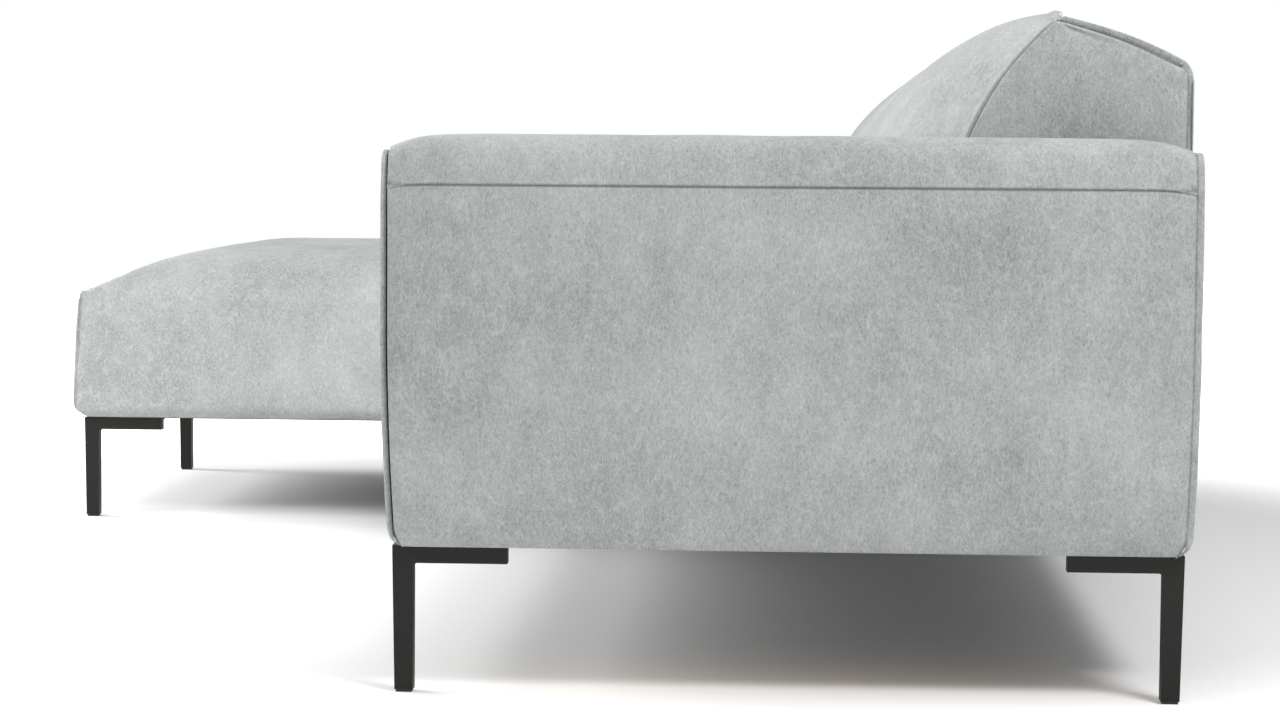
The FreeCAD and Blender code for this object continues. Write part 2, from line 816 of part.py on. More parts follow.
# Assembly
def build_arm(name, inner_x, outer_x, legs, bolt_holes):
    """Write the cover, foam, box and boards of one arm."""
    leg_holes = [hole for leg in legs for hole in leg.screw_holes()]
    cover = arm_block(inner_x, outer_x).cut(arm_block(inner_x, outer_x, arm_cover_wall))
    foam_outer = arm_block(inner_x, outer_x, arm_cover_wall + soft_gap)
    foam_inner = arm_block(inner_x, outer_x, arm_cover_wall + arm_foam_wall + soft_gap)
    foam = foam_outer.cut(foam_inner).common(box(
        arm_outer_left, arm_outer_right, chaise_front_y, rear_y, leg_height, arm_height))
    frame = [cut_all(shape, bolt_holes + leg_holes) for shape in arm_frame(inner_x, outer_x)]
    boards = [cut_all(shape, bolt_holes) for shape in arm_boards(inner_x, outer_x)]
    save(name + "_arm_cover", [cut_all(cover, bolt_holes)])
    save(name + "_arm_foam", [cut_all(foam, bolt_holes)])
    save(name + "_arm_frame", frame)
    save(name + "_arm_boards", boards)


def build_element(element, post_count, holes, springs):
    """Write the frame, springs and cloths of one element."""
    name = element.name
    save(name + "_front_rail", [cut_all(element.front_rail(), holes)])
    save(name + "_rear_rail", [cut_all(element.rear_rail(), holes)])
    save(name + "_side_rails", [cut_all(rail, holes) for rail in element.side_rails()])
    save(name + "_spring_rail", [element.spring_rail()])
    save(name + "_back_posts", element.back_posts(post_count))
    save(name + "_back_rails", element.back_rails(post_count))
    save(name + "_springs", springs)
    save(name + "_spring_felt", [element.insulator()])
    save(name + "_back_webbing", element.webbing())
    save(name + "_rear_panel", [element.rear_panel()])
    save(name + "_dust_cloth", [cut_all(element.dust_cloth(), holes)])


def sofa_cushion_name(index):
    """Name of a seat of the two-seat element, counted from the right arm."""
    return "right" if index == 0 else "middle" + (str(index) if index > 1 else "")


def main():
    """Write every node of the sofa."""
    os.makedirs("parts", exist_ok=True)
    sofa = Element("sofa", joint_x + element_gap / 2, arm_inner_right - soft_gap, sofa_front_y)
    chaise = Element("chaise", arm_inner_left + soft_gap, joint_x - element_gap / 2, chaise_front_y)

    legs = [
        Leg("right_arm_front_leg", arm_outer_right, sofa_front_y, -1, 1, True),
        Leg("right_arm_rear_leg", arm_outer_right, rear_y, -1, -1, True),
        Leg("middle_front_leg", sofa.x0, sofa_front_y, 1, 1, False),
        Leg("middle_rear_leg", sofa.x0, rear_y, 1, -1, False),
        Leg("chaise_inner_front_leg", chaise.x1, chaise_front_y, -1, 1, False),
        Leg("chaise_outer_front_leg", chaise.x0, chaise_front_y, 1, 1, False),
        Leg("left_arm_front_leg", arm_outer_left, sofa_front_y, 1, 1, True),
        Leg("left_arm_rear_leg", arm_outer_left, rear_y, 1, -1, True),
    ]
    frame_leg_holes = [hole for leg in legs if not leg.under_arm for hole in leg.screw_holes()]
    link_holes = [link_hole(x, y) for x, y in link_screw_places()]
    right_bolt_holes = [arm_bolt(arm_inner_right, 1, y, hole_clearance) for y in arm_bolt_places(sofa_front_y)]
    left_bolt_holes = [arm_bolt(arm_inner_left, -1, y, hole_clearance) for y in arm_bolt_places(sofa_front_y)]

    sofa_spring_set, sofa_clips = sofa_springs(sofa)
    chaise_spring_set, chaise_clips = chaise_springs(chaise)
    build_element(sofa, seat_count + 1, frame_leg_holes + link_holes + right_bolt_holes, sofa_spring_set)
    build_element(chaise, chaise_post_count, frame_leg_holes + link_holes + left_bolt_holes, chaise_spring_set)
    save("spring_clips", sofa_clips + chaise_clips)
    save("deck_boards", [sofa.deck_board(), chaise.deck_board()])

    blocks = [leg.corner_block(sofa) for leg in legs if leg.name.startswith("middle")]
    blocks += [leg.corner_block(chaise) for leg in legs if leg.name.startswith("chaise")]
    pads = link_blocks(sofa, -1) + link_blocks(chaise, 1)
    save("corner_blocks", blocks + [cut_all(pad, link_holes) for pad in pads])

    cushions = [("chaise", chaise.x0, chaise.x1, chaise, chaise_side_roll)]
    for index in range(seat_count):
        right = arm_inner_right - index * seat_width - soft_gap
        left = max(sofa.x0, arm_inner_right - (index + 1) * seat_width)
        cushions.append((sofa_cushion_name(index), left, right, sofa, sofa_side_roll))
    side_holes = right_bolt_holes + left_bolt_holes + link_holes
    for name, x0, x1, element, side_roll in cushions:
        seat_cover, seat_foam = seat_pieces(x0, x1, element.front_y, side_roll, element.frame_bay())
        back_cover, back_foam = back_pieces(x0, x1, element.back_bay())
        save(name + "_seat_cover", [cut_all(seat_cover, side_holes)])
        save(name + "_seat_foam", [seat_foam])
        save(name + "_back_cover", [back_cover])
        save(name + "_back_foam", [back_foam])

    build_arm("right", arm_inner_right, arm_outer_right, legs[0:2], right_bolt_holes)
    build_arm("left", arm_inner_left, arm_outer_left, legs[6:8], left_bolt_holes)

    for leg in legs:
        save(leg.name, [leg.weldment()])
    save("leg_glides", [leg.glide() for leg in legs])
    save("leg_screws", [screw for leg in legs for screw in leg.screws()])
    save("link_plates", link_plates())
    save("link_screws", link_screws())
    bolts = [arm_bolt(arm_inner_right, 1, y) for y in arm_bolt_places(sofa_front_y)]
    bolts += [arm_bolt(arm_inner_left, -1, y) for y in arm_bolt_places(sofa_front_y)]
    save("arm_bolts", bolts)


main()
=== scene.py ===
"""Looks of a lounge sofa with a chaise: covers, seams, cloths, finishes, studio and camera.

Metres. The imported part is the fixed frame: X runs along the sofa, Y from the front to the back, and Z up.
"""
import sys

import json
import logging
import math
from collections.abc import Iterable, Sequence
from dataclasses import dataclass, field
from enum import Enum

import bmesh
import bpy
import numpy as np
from bpy.types import Material, Mesh, Node, NodeSocket, NodeTree, Object
from mathutils import Matrix, Vector

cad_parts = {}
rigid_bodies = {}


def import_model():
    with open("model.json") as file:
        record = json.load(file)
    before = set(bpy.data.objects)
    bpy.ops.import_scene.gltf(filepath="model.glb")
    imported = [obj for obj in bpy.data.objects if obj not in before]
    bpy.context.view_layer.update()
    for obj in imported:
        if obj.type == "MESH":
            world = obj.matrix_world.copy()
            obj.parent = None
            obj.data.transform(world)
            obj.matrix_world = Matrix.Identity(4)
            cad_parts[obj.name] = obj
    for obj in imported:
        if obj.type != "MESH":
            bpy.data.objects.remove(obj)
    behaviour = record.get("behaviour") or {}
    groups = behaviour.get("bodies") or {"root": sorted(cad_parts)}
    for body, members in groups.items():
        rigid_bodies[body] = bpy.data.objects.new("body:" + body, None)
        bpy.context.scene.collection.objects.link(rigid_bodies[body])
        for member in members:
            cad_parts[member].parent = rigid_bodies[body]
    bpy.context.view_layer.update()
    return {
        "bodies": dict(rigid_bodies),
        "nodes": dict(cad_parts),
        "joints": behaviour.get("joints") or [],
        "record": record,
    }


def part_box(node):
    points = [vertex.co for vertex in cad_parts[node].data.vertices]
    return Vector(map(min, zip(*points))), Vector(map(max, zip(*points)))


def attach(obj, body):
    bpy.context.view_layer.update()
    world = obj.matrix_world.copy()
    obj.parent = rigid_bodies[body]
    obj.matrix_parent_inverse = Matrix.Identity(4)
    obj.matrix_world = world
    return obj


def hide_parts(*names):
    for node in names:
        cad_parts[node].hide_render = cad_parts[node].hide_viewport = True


LOG = logging.getLogger("sofa")
BODY = "root"
# Mesh attribute with each vertex's share of painted shade: a dark colour in seams and slots in place of their
# shadow
PAINTED_SEAM_SHADE = "painted_seam_shade"
WHITE = (1.0, 1.0, 1.0, 1.0)
# Distances of the fine rows beside a seam or an edge
CLOSE_ROWS = (0.0, 0.0012, 0.0027, 0.0045, 0.0070)
WAVES = 7


class Slot(Enum):
    """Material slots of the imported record."""

    COVER = "cover_fabric"
    LEG = "powder_coated_steel"
    ZINC = "zinc_steel"
    SPRING = "spring_steel"
    GLIDE = "glide_plastic"
    FOAM = "upholstery_foam"
    DUST_CLOTH = "dust_cloth"
    FELT = "spring_felt"
    WEBBING = "elastic_webbing"
    FIBREBOARD = "fibreboard"
    PLYWOOD = "plywood"
    BEECH = "beech_timber"


def linear(code: str) -> tuple[float, float, float, float]:
    """Turn an sRGB hex colour to linear light.

    Args:
        code: Six hex digits, such as "B0B5B3".

    Returns:
        Red, green, blue and an alpha of 1.
    """
    channels = [int(code[i:i + 2], 16) / 255 for i in (0, 2, 4)]
    lit = [c / 12.92 if c <= 0.04045 else ((c + 0.055) / 1.055) ** 2.4 for c in channels]
    return lit[0], lit[1], lit[2], 1.0


def smooth_step(value: np.ndarray, low: float, high: float) -> np.ndarray:
    """Rise smoothly from 0 at low to 1 at high.

    Args:
        value: Numbers to turn.
        low: Where the rise starts.
        high: Where it ends.

    Returns:
        Shares from 0 to 1.
    """
    share = np.clip((value - low) / (high - low), 0, 1)
    return share * share * (3 - 2 * share)


def ripple(points: np.ndarray, wavelength: float, seed: int) -> np.ndarray:
    """Soft unevenness in space, made of a few crossing waves.

    Args:
        points: Places, one row each.
        wavelength: Mean distance between crests.
        seed: Number that fixes the waves.

    Returns:
        One number for each place, mostly from -1 to 1.
    """
    chance = np.random.RandomState(seed)
    total = np.zeros(len(points))
    for _ in range(WAVES):
        way = chance.normal(size=3)
        way /= np.linalg.norm(way)
        stretch = chance.uniform(0.7, 1.4)
        total += np.sin(points @ way * (2 * math.pi / (wavelength * stretch)) + chance.uniform(0, 6.28))
    return total / (WAVES / 2)


def add_node(tree: NodeTree, kind: str, settings: dict | None = None,
             inputs: dict | None = None) -> Node:
    """Add a node with its settings and links.

    Args:
        tree: Tree that gets the node.
        kind: Blender's name of the node type.
        settings: Property values of the node.
        inputs: Values, or sockets to link, by the input's name or number.

    Returns:
        The new node.
    """
    node = tree.nodes.new(kind)
    for name, value in (settings or {}).items():
        setattr(node, name, value)
    for name, value in (inputs or {}).items():
        if isinstance(value, NodeSocket):
            tree.links.new(value, node.inputs[name])
        else:
            node.inputs[name].default_value = value
    return node


def reckon(tree: NodeTree, operation: str, *values: float | NodeSocket,
           clamp: bool = False) -> NodeSocket:
    """Add a math node.

    Args:
        tree: Tree that gets the node.
        operation: Blender's name of the operation.
        values: Its numbers or sockets, in order.
        clamp: Whether the result stays from 0 to 1.

    Returns:
        Socket with the result.
    """
    return add_node(tree, "ShaderNodeMath", {"operation": operation, "use_clamp": clamp},
                    dict(enumerate(values))).outputs[0]


def blend(tree: NodeTree, share: NodeSocket,
          first: tuple[float, float, float, float] | NodeSocket,
          second: tuple[float, float, float, float] | NodeSocket) -> NodeSocket:
    """Mix two colours.

    Args:
        tree: Tree that gets the node.
        share: Share of the second colour.
        first: Colour at 0.
        second: Colour at 1.

    Returns:
        Socket with the mixed colour.
    """
    return add_node(tree, "ShaderNodeMix", {"data_type": "RGBA"},
                    {0: share, 6: first, 7: second}).outputs[2]


def spread(tree: NodeTree, value: NodeSocket, source: tuple[float, float],
           target: tuple[float, float], kind: str = "SMOOTHSTEP") -> NodeSocket:
    """Map one range of a value to another.

    Args:
        tree: Tree that gets the node.
        value: Socket to map.
        source: Where the range starts and ends.
        target: What the start and the end become.
        kind: Blender's name of the interpolation.

    Returns:
        Socket with the mapped value.
    """
    return add_node(tree, "ShaderNodeMapRange", {"interpolation_type": kind}, {
        "Value": value, "From Min": source[0], "From Max": source[1],
        "To Min": target[0], "To Max": target[1]}).outputs[0]


def seen_directly(tree: NodeTree) -> NodeSocket:
    """Socket that is 1 for the rays from the camera, from gloss and through glass, and 0 for the rest."""
    rays = add_node(tree, "ShaderNodeLightPath").outputs
    seen = reckon(tree, "MAXIMUM", rays["Is Camera Ray"], rays["Is Glossy Ray"])
    return reckon(tree, "MAXIMUM", seen, rays["Is Transmission Ray"])


# Finishes
@dataclass(frozen=True)
class Finish:
    """A surface with one colour, a soft variation of it and a fine relief."""

    name: str
    colour: str
    second: str
    roughness: float
    metallic: float = 0.0
    sheen: float = 0.0
    gloss: float = 0.5
    patch: float = 0.05
    grain: float = 0.002
    stretch: tuple[float, float, float] = (1.0, 1.0, 1.0)
    relief: float = 0.0001

    def start(self) -> tuple[Material, NodeTree, Node]:
        """Make the empty material.

        Returns:
            The material, its node tree and its shader.
        """
        material = bpy.data.materials.new(self.name)
        material.use_nodes = True
        material.diffuse_color = linear(self.colour)
        shader = material.node_tree.nodes["Principled BSDF"]
        shader.inputs["Roughness"].default_value = self.roughness
        shader.inputs["Metallic"].default_value = self.metallic
        shader.inputs["Sheen Weight"].default_value = self.sheen
        shader.inputs["Specular IOR Level"].default_value = self.gloss
        return material, material.node_tree, shader

    def material(self) -> Material:
        """Make the finished material.

        Returns:
            A material of patches of two colours and a fine grain.
        """
        material, tree, shader = self.start()
        place = add_node(tree, "ShaderNodeTexCoord").outputs["Object"]
        drawn = add_node(tree, "ShaderNodeMapping", inputs={0: place, "Scale": self.stretch}).outputs[0]
        patches = add_node(tree, "ShaderNodeTexNoise",
                           inputs={"Vector": drawn, "Scale": 1 / self.patch, "Detail": 3.0})
        grain = add_node(tree, "ShaderNodeTexNoise",
                         inputs={"Vector": drawn, "Scale": 1 / self.grain, "Detail": 2.0})
        flecks = reckon(tree, "MULTIPLY_ADD", grain.outputs["Fac"], 0.45, -0.22)
        share = reckon(tree, "ADD", patches.outputs["Fac"], flecks, clamp=True)
        colour = blend(tree, share, linear(self.colour), linear(self.second))
        bump = add_node(tree, "ShaderNodeBump", inputs={
            "Height": grain.outputs["Fac"], "Distance": self.relief, "Strength": 0.6})
        tree.links.new(colour, shader.inputs["Base Color"])
        tree.links.new(bump.outputs["Normal"], shader.inputs["Normal"])
        return material


@dataclass(frozen=True)
class MicrofibreFinish(Finish):
    """Brushed microfibre with a worn leather look.

    The brushing leaves cloudy patches, a dense pebbled grain and pale hairline creases that run
    mostly up and down, with hardly any gloss. Seams and slots get painted shade, a dark colour in
    place of the shadow that falls into them.
    """

    pale: str = "C8CCCA"
    cloud: float = 0.20
    mottle: float = 0.040
    pebble: float = 0.0075
    weights: tuple[float, float, float, float] = (0.95, 0.50, 0.35, 1.35)
    crease_width: float = 0.0095
    crease_height: float = 0.030
    crease_line: float = 0.0011
    crease_strength: float = 0.34
    # Painted shade colour for seams and slots
    painted_shade_colour: str = "34383A"

    def material(self) -> Material:
        """Make the cover fabric.

        Returns:
            The material of every cover, flange and rear panel.
        """
        material, tree, shader = self.start()
        shader.inputs["Sheen Roughness"].default_value = 0.45
        place = add_node(tree, "ShaderNodeTexCoord").outputs["Object"]
        upright = add_node(tree, "ShaderNodeMapping",
                           inputs={0: place, "Scale": (1.0, 1.0, 0.6)}).outputs[0]
        layers = [self.noise(tree, place, self.cloud, 2.0, 0.0),
                  self.noise(tree, upright, self.mottle, 3.0, 0.4),
                  self.noise(tree, upright, self.pebble, 2.0, 1.0),
                  self.noise(tree, upright, self.grain, 1.0, 1.2)]
        creases = self.creases(tree, place, 1.0)
        hairlines = self.creases(tree, place, 0.45)
        lines = reckon(tree, "MAXIMUM", creases, hairlines)

        share = 0.5
        for layer, weight in zip(layers, self.weights):
            centred = reckon(tree, "MULTIPLY_ADD", layer, weight, -0.5 * weight)
            share = reckon(tree, "ADD", centred, share)
        share = add_node(tree, "ShaderNodeClamp", inputs={0: share}).outputs[0]
        body = blend(tree, share, linear(self.second), linear(self.colour))
        rubbed = blend(tree, lines, body, linear(self.pale))
        # Painted shade: seams and slots take the dark colour by the share in the mesh attribute, in place of
        # their shadow
        inside = add_node(tree, "ShaderNodeAttribute", {"attribute_name": PAINTED_SEAM_SHADE})
        with_painted_shade = blend(tree, inside.outputs["Fac"], rubbed, linear(self.painted_shade_colour))
        tree.links.new(with_painted_shade, shader.inputs["Base Color"])

        height = reckon(tree, "MULTIPLY_ADD", lines, 0.9, layers[3])
        uneven = reckon(tree, "MULTIPLY_ADD", layers[2], 1.2, height)
        bump = add_node(tree, "ShaderNodeBump", inputs={
            "Height": uneven, "Distance": self.relief, "Strength": 0.5})
        tree.links.new(bump.outputs["Normal"], shader.inputs["Normal"])
        dull = spread(tree, layers[1], (0.3, 0.7), (self.roughness - 0.06, self.roughness + 0.06), "LINEAR")
        tree.links.new(dull, shader.inputs["Roughness"])
        return material

    def noise(self, tree: NodeTree, place: NodeSocket, size: float,
              detail: float, swirl: float) -> NodeSocket:
        """Soft noise with marks of a given size.

        Args:
            tree: Tree of the material.
            place: Socket with the place on the piece.
            size: Usual distance between two marks.
            detail: How many finer layers it has.
            swirl: How far the marks are bent.

        Returns:
            Socket with the noise, about 0.5.
        """
        return add_node(tree, "ShaderNodeTexNoise", inputs={
            "Vector": place, "Scale": 1 / size, "Detail": detail, "Roughness": 0.6,
            "Distortion": swirl}).outputs["Fac"]

    def creases(self, tree: NodeTree, place: NodeSocket,
                scale: float) -> NodeSocket:
        """Pale creases along the edges of tall narrow cells, in patches.

        Args:
            tree: Tree of the material.
            place: Socket with the place on the piece.
            scale: Size of the cells against the usual ones.

        Returns:
            Socket with the strength of the creases.
        """
        width, height = self.crease_width * scale, self.crease_height * scale
        bend = add_node(tree, "ShaderNodeTexNoise", inputs={
            "Vector": place, "Scale": 0.4 / width, "Detail": 2.0})
        shift = add_node(tree, "ShaderNodeVectorMath", {"operation": "MULTIPLY_ADD"}, {
            0: bend.outputs["Color"], 1: (width * 1.5, width * 1.5, width * 1.5), 2: place})
        cells = add_node(tree, "ShaderNodeMapping", inputs={
            0: shift.outputs[0], "Scale": (1 / width, 1 / width, 1 / height)})
        edge = add_node(tree, "ShaderNodeTexVoronoi", {"feature": "DISTANCE_TO_EDGE"},
                        {"Vector": cells.outputs[0], "Scale": 1.0})
        thin = spread(tree, edge.outputs["Distance"], (0.0, self.crease_line * scale ** 0.5 / width),
                      (1.0, 0.0))
        patches = self.noise(tree, place, width * 2.6, 3.0, 0.0)
        where = spread(tree, patches, (0.46, 0.66), (0.0, self.crease_strength))
        return reckon(tree, "MULTIPLY", thin, where)


@dataclass(frozen=True)
class StudioPaper(Finish):
    """White backdrop paper. It glows for the camera and in reflections, a little near the sofa, where the
    lamps light it and its shadow stays, and fully white far from the sofa.
    """

    # Painted light: the floor's glow, which rises to full white between white_from and white_to metres from
    # its middle
    glow: float = 0.02
    white_from: float = 1.3
    white_to: float = 2.3

    def material(self) -> Material:
        """Make the floor's material.

        Returns:
            A material that glows for the camera and for reflections, a little near the sofa and fully white
            far from it.
        """
        material, tree, shader = self.start()
        shader.inputs["Base Color"].default_value = linear(self.colour)
        seen = seen_directly(tree)
        place = add_node(tree, "ShaderNodeTexCoord").outputs["Object"]
        away = add_node(tree, "ShaderNodeVectorMath", {"operation": "LENGTH"}, {0: place})
        white = spread(tree, away.outputs["Value"], (self.white_from, self.white_to), (self.glow, 1.0))
        lift = reckon(tree, "MULTIPLY", seen, white)
        glow = add_node(tree, "ShaderNodeEmission", inputs={"Color": WHITE})
        tree.links.new(lift, glow.inputs["Strength"])
        both = add_node(tree, "ShaderNodeAddShader", inputs={0: shader.outputs[0], 1: glow.outputs[0]})
        tree.links.new(both.outputs[0], tree.nodes["Material Output"].inputs["Surface"])
        return material


class Workshop:
    """Every finish of the sofa, each made once."""

    FINISHES = {
        # Brushed microfibre: cloudy, pebbled and creased, almost without gloss
        Slot.COVER: MicrofibreFinish("brushed_microfibre", "B9BCBB", "858A89", 0.86, sheen=0.02, gloss=0.12,
                                     grain=0.0022, relief=0.0005),
        # Mild steel under a fine-textured olive-black powder coat: even, with a soft low gloss
        Slot.LEG: Finish("powder_coated_steel", "14150F", "10110D", 0.55, gloss=0.28, patch=0.2,
                         grain=0.0012, relief=0.00006),
        # Zinc-plated screws and plates: bright, slightly bluish and cloudy
        Slot.ZINC: Finish("zinc_plated_steel", "B9BCC0", "9DA1A8", 0.36, metallic=1.0, patch=0.006,
                          grain=0.0008, relief=0.00003),
        # Drawn spring wire: dark grey with drawing lines
        Slot.SPRING: Finish("drawn_spring_wire", "76787C", "5A5C60", 0.40, metallic=1.0, patch=0.03,
                            grain=0.0008, relief=0.00003),
        # Moulded nylon glides: black and dull
        Slot.GLIDE: Finish("moulded_nylon", "222324", "1B1C1D", 0.55, grain=0.0015, relief=0.00004),
        # Cut cold foam: cream with open pores
        Slot.FOAM: Finish("cut_cold_foam", "E2DCC4", "D3CBB0", 0.95, patch=0.03, grain=0.0016,
                          relief=0.0005),
        # Spunbonded dust cloth: black with a pressed dot grain
        Slot.DUST_CLOTH: Finish("spunbonded_cloth", "2B2C2D", "202122", 0.92, sheen=0.1, patch=0.02,
                                grain=0.0016, relief=0.0003),
        # Needled felt of mixed fibres: flecked grey
        Slot.FELT: Finish("needled_felt", "8C8E92", "6E7075", 0.97, sheen=0.2, patch=0.006,
                          grain=0.0015, relief=0.0006),
        # Woven elastic strap: charcoal ribs across the strap
        Slot.WEBBING: Finish("woven_elastic", "3C3D40", "2D2E31", 0.9, sheen=0.1, patch=0.004,
                             grain=0.0016, stretch=(0.15, 1.0, 2.0), relief=0.0005),
        # Pressed fibreboard: brown with fine flecks
        Slot.FIBREBOARD: Finish("pressed_fibreboard", "9C7C58", "86694A", 0.8, patch=0.01, grain=0.001,
                                relief=0.0001),
        # Rotary-cut poplar plywood: pale with long soft figure
        Slot.PLYWOOD: Finish("poplar_plywood", "D0B088", "BC9A70", 0.72, patch=0.03, grain=0.002,
                             stretch=(1.0, 0.12, 1.0), relief=0.0001),
        # Planed beech rails: warm with short fine flecks along the grain
        Slot.BEECH: Finish("planed_beech", "CDA67C", "B98D63", 0.62, patch=0.02, grain=0.0015,
                           stretch=(0.12, 1.0, 1.0), relief=0.00008),
    }

    def __init__(self) -> None:
        """Start with no material made."""
        self.made: dict[Slot, Material] = {}

    def finish(self, slot: Slot) -> Material:
        """Give the material of a slot, made when it is first asked for.

        Args:
            slot: The record's slot.

        Returns:
            Its material.
        """
        if slot not in self.made:
            self.made[slot] = self.FINISHES[slot].material()
        return self.made[slot]


# Meshes
def new_piece(name: str, points: np.ndarray, faces: Iterable[Sequence[int]],
              material: Material | None) -> Object:
    """Make a smooth-shaded mesh object at the origin.

    Args:
        name: Name of the piece.
        points: Vertex places, one row each.
        faces: Vertex numbers of each face.
        material: Its material, if it has one.

    Returns:
        The new object.
    """
    mesh = bpy.data.meshes.new(name)
    mesh.from_pydata(np.asarray(points).tolist(), [], [list(map(int, face)) for face in faces])
    mesh.polygons.foreach_set("use_smooth", [True] * len(mesh.polygons))
    if material:
        mesh.materials.append(material)
    piece = bpy.data.objects.new(name, mesh)
    bpy.context.scene.collection.objects.link(piece)
    return piece


def places_of(mesh: Mesh) -> np.ndarray:
    """Vertex places of a mesh, one row each."""
    flat = np.zeros(len(mesh.vertices) * 3, np.float32)
    mesh.vertices.foreach_get("co", flat)
    return flat.reshape(-1, 3).astype(float)


def grid_faces(number: np.ndarray) -> np.ndarray:
    """Quads between the neighbours of a grid of vertex numbers, one row each."""
    return np.stack([number[:-1, :-1], number[1:, :-1], number[1:, 1:], number[:-1, 1:]],
                    axis=-1).reshape(-1, 4)


def stations(length: float, pitch: float, close: Sequence[float] = ()) -> np.ndarray:
    """Rows along a length, nearer together beside a seam or an edge.

    Args:
        length: Length that the rows divide.
        pitch: Usual distance between rows.
        close: Places that get fine rows on both sides.

    Returns:
        Shares of the length, from 0 to 1.
    """
    rows = set(np.linspace(0, length, max(3, round(length / pitch) + 1)))
    for place in close:
        rows = {row for row in rows if abs(row - place) > 0.75 * pitch}
        rows |= {place + side * step for step in CLOSE_ROWS for side in (-1, 1)}
    inside = sorted(row for row in rows if 1e-6 < row < length - 1e-6)
    return np.array([0.0, *inside, length]) / length


@dataclass
class WrappedBox:
    """Closed skin of quads on a unit box, ready to be shaped.

    The skin's rows stand at the given shares along each side of the box.
    """

    across: np.ndarray
    along: np.ndarray
    up: np.ndarray
    unit: np.ndarray = field(init=False)
    faces: np.ndarray = field(init=False)

    def __post_init__(self) -> None:
        """Number the vertices and list the faces, turned outwards."""
        shape = (len(self.across), len(self.along), len(self.up))
        grid = np.indices(shape)
        last = np.array(shape).reshape(3, 1, 1, 1) - 1
        outside = ((grid == 0) | (grid == last)).any(axis=0)
        number = -np.ones(shape, int)
        number[outside] = np.arange(outside.sum())
        self.unit = np.stack([self.across[grid[0][outside]], self.along[grid[1][outside]],
                              self.up[grid[2][outside]]], axis=1)
        sides = [(number[-1], 1), (number[0], -1), (number[:, 0], 1), (number[:, -1], -1),
                 (number[:, :, -1], 1), (number[:, :, 0], -1)]
        self.faces = np.concatenate([grid_faces(side)[:, ::turn] for side, turn in sides])


def curled(reach: np.ndarray, run: float, radius: float) -> np.ndarray:
    """Depth of a padded panel's edge, which turns in to its seam on an arc.

    Args:
        reach: Distance of each point from the seam.
        run: Width of the stretch that turns in.
        radius: Radius of the arc.

    Returns:
        Depth below the flat of the panel.
    """
    return radius - np.sqrt(radius ** 2 - np.maximum(run - reach, 0) ** 2)


def rounded(depth: np.ndarray, reach: np.ndarray, radius: float) -> tuple[np.ndarray, np.ndarray]:
    """Round the edge where two faces of a box meet.

    Args:
        depth: Distance of each point below the first face.
        reach: Distance of each point from the second face.
        radius: Radius of the edge.

    Returns:
        The two distances after rounding.
    """
    first = np.maximum(depth, radius)
    second = np.maximum(reach, radius)
    a, b = first - depth, second - reach
    length = np.maximum(np.hypot(a, b), 1e-12)
    scale = np.maximum(a, b) / length
    return first - a * scale, second - b * scale


@dataclass(frozen=True)
class Inflation:
    """Air pressure inside a cover, run as cloth, that fills the panels between their seams."""

    pressure: float = 4.0
    frames: int = 18
    slack: float = 0.008
    cap: float = 0.010

    def slacken(self, piece: Object, held: np.ndarray) -> None:
        """Draw the free parts in, so that the air brings them back to their form.

        Args:
            piece: Closed cover mesh.
            held: True for each vertex that seams and neighbours keep in place.
        """
        mesh = piece.data
        ends = np.array([edge.vertices[:] for edge in mesh.edges])
        free = (~held).astype(float)
        for _ in range(3):
            total, count = np.zeros(len(free)), np.zeros(len(free))
            for one, two in ((0, 1), (1, 0)):
                np.add.at(total, ends[:, one], free[ends[:, two]])
                np.add.at(count, ends[:, one], 1)
            free = np.where(held, 0.0, 0.5 * free + 0.5 * total / count)
        normals = np.zeros(len(free) * 3, np.float32)
        mesh.vertex_normals.foreach_get("vector", normals)
        points = places_of(mesh) - normals.reshape(-1, 3) * (self.slack * free)[:, None]
        mesh.vertices.foreach_set("co", points.astype(np.float32).ravel())
        mesh.update()

    def fill(self, piece: Object, held: np.ndarray) -> None:
        """Swell the piece and keep the result in its mesh.

        Args:
            piece: Closed cover mesh.
            held: True for each vertex that seams and neighbours keep in place.
        """
        scene = bpy.context.scene
        self.slacken(piece, held)
        group = piece.vertex_groups.new(name="held")
        group.add(np.flatnonzero(held).tolist(), 1.0, "REPLACE")
        cloth = piece.modifiers.new("air", "CLOTH")
        settings = cloth.settings
        settings.quality = 4
        settings.mass = 0.3
        settings.tension_stiffness = 18
        settings.compression_stiffness = 18
        settings.shear_stiffness = 8
        settings.bending_stiffness = 2
        settings.use_pressure = True
        settings.uniform_pressure_force = self.pressure
        settings.vertex_group_mass = group.name
        settings.effector_weights.gravity = 0
        cloth.collision_settings.use_collision = False
        cloth.point_cache.frame_end = self.frames
        for frame in range(1, self.frames + 1):
            scene.frame_set(frame)
        rest = places_of(piece.data)
        result = piece.evaluated_get(bpy.context.evaluated_depsgraph_get()).to_mesh()
        move = places_of(result) - rest
        length = np.maximum(np.linalg.norm(move, axis=1), 1e-12)
        move *= (self.cap * np.tanh(length / self.cap) / length)[:, None]
        piece.modifiers.remove(cloth)
        piece.vertex_groups.remove(group)
        scene.frame_set(1)
        piece.data.vertices.foreach_set("co", (rest + move).astype(np.float32).ravel())
        piece.data.update()


class RowShape(Enum):
    """What a row is made of."""

    STITCH = "stitch"
    STAPLE = "staple"


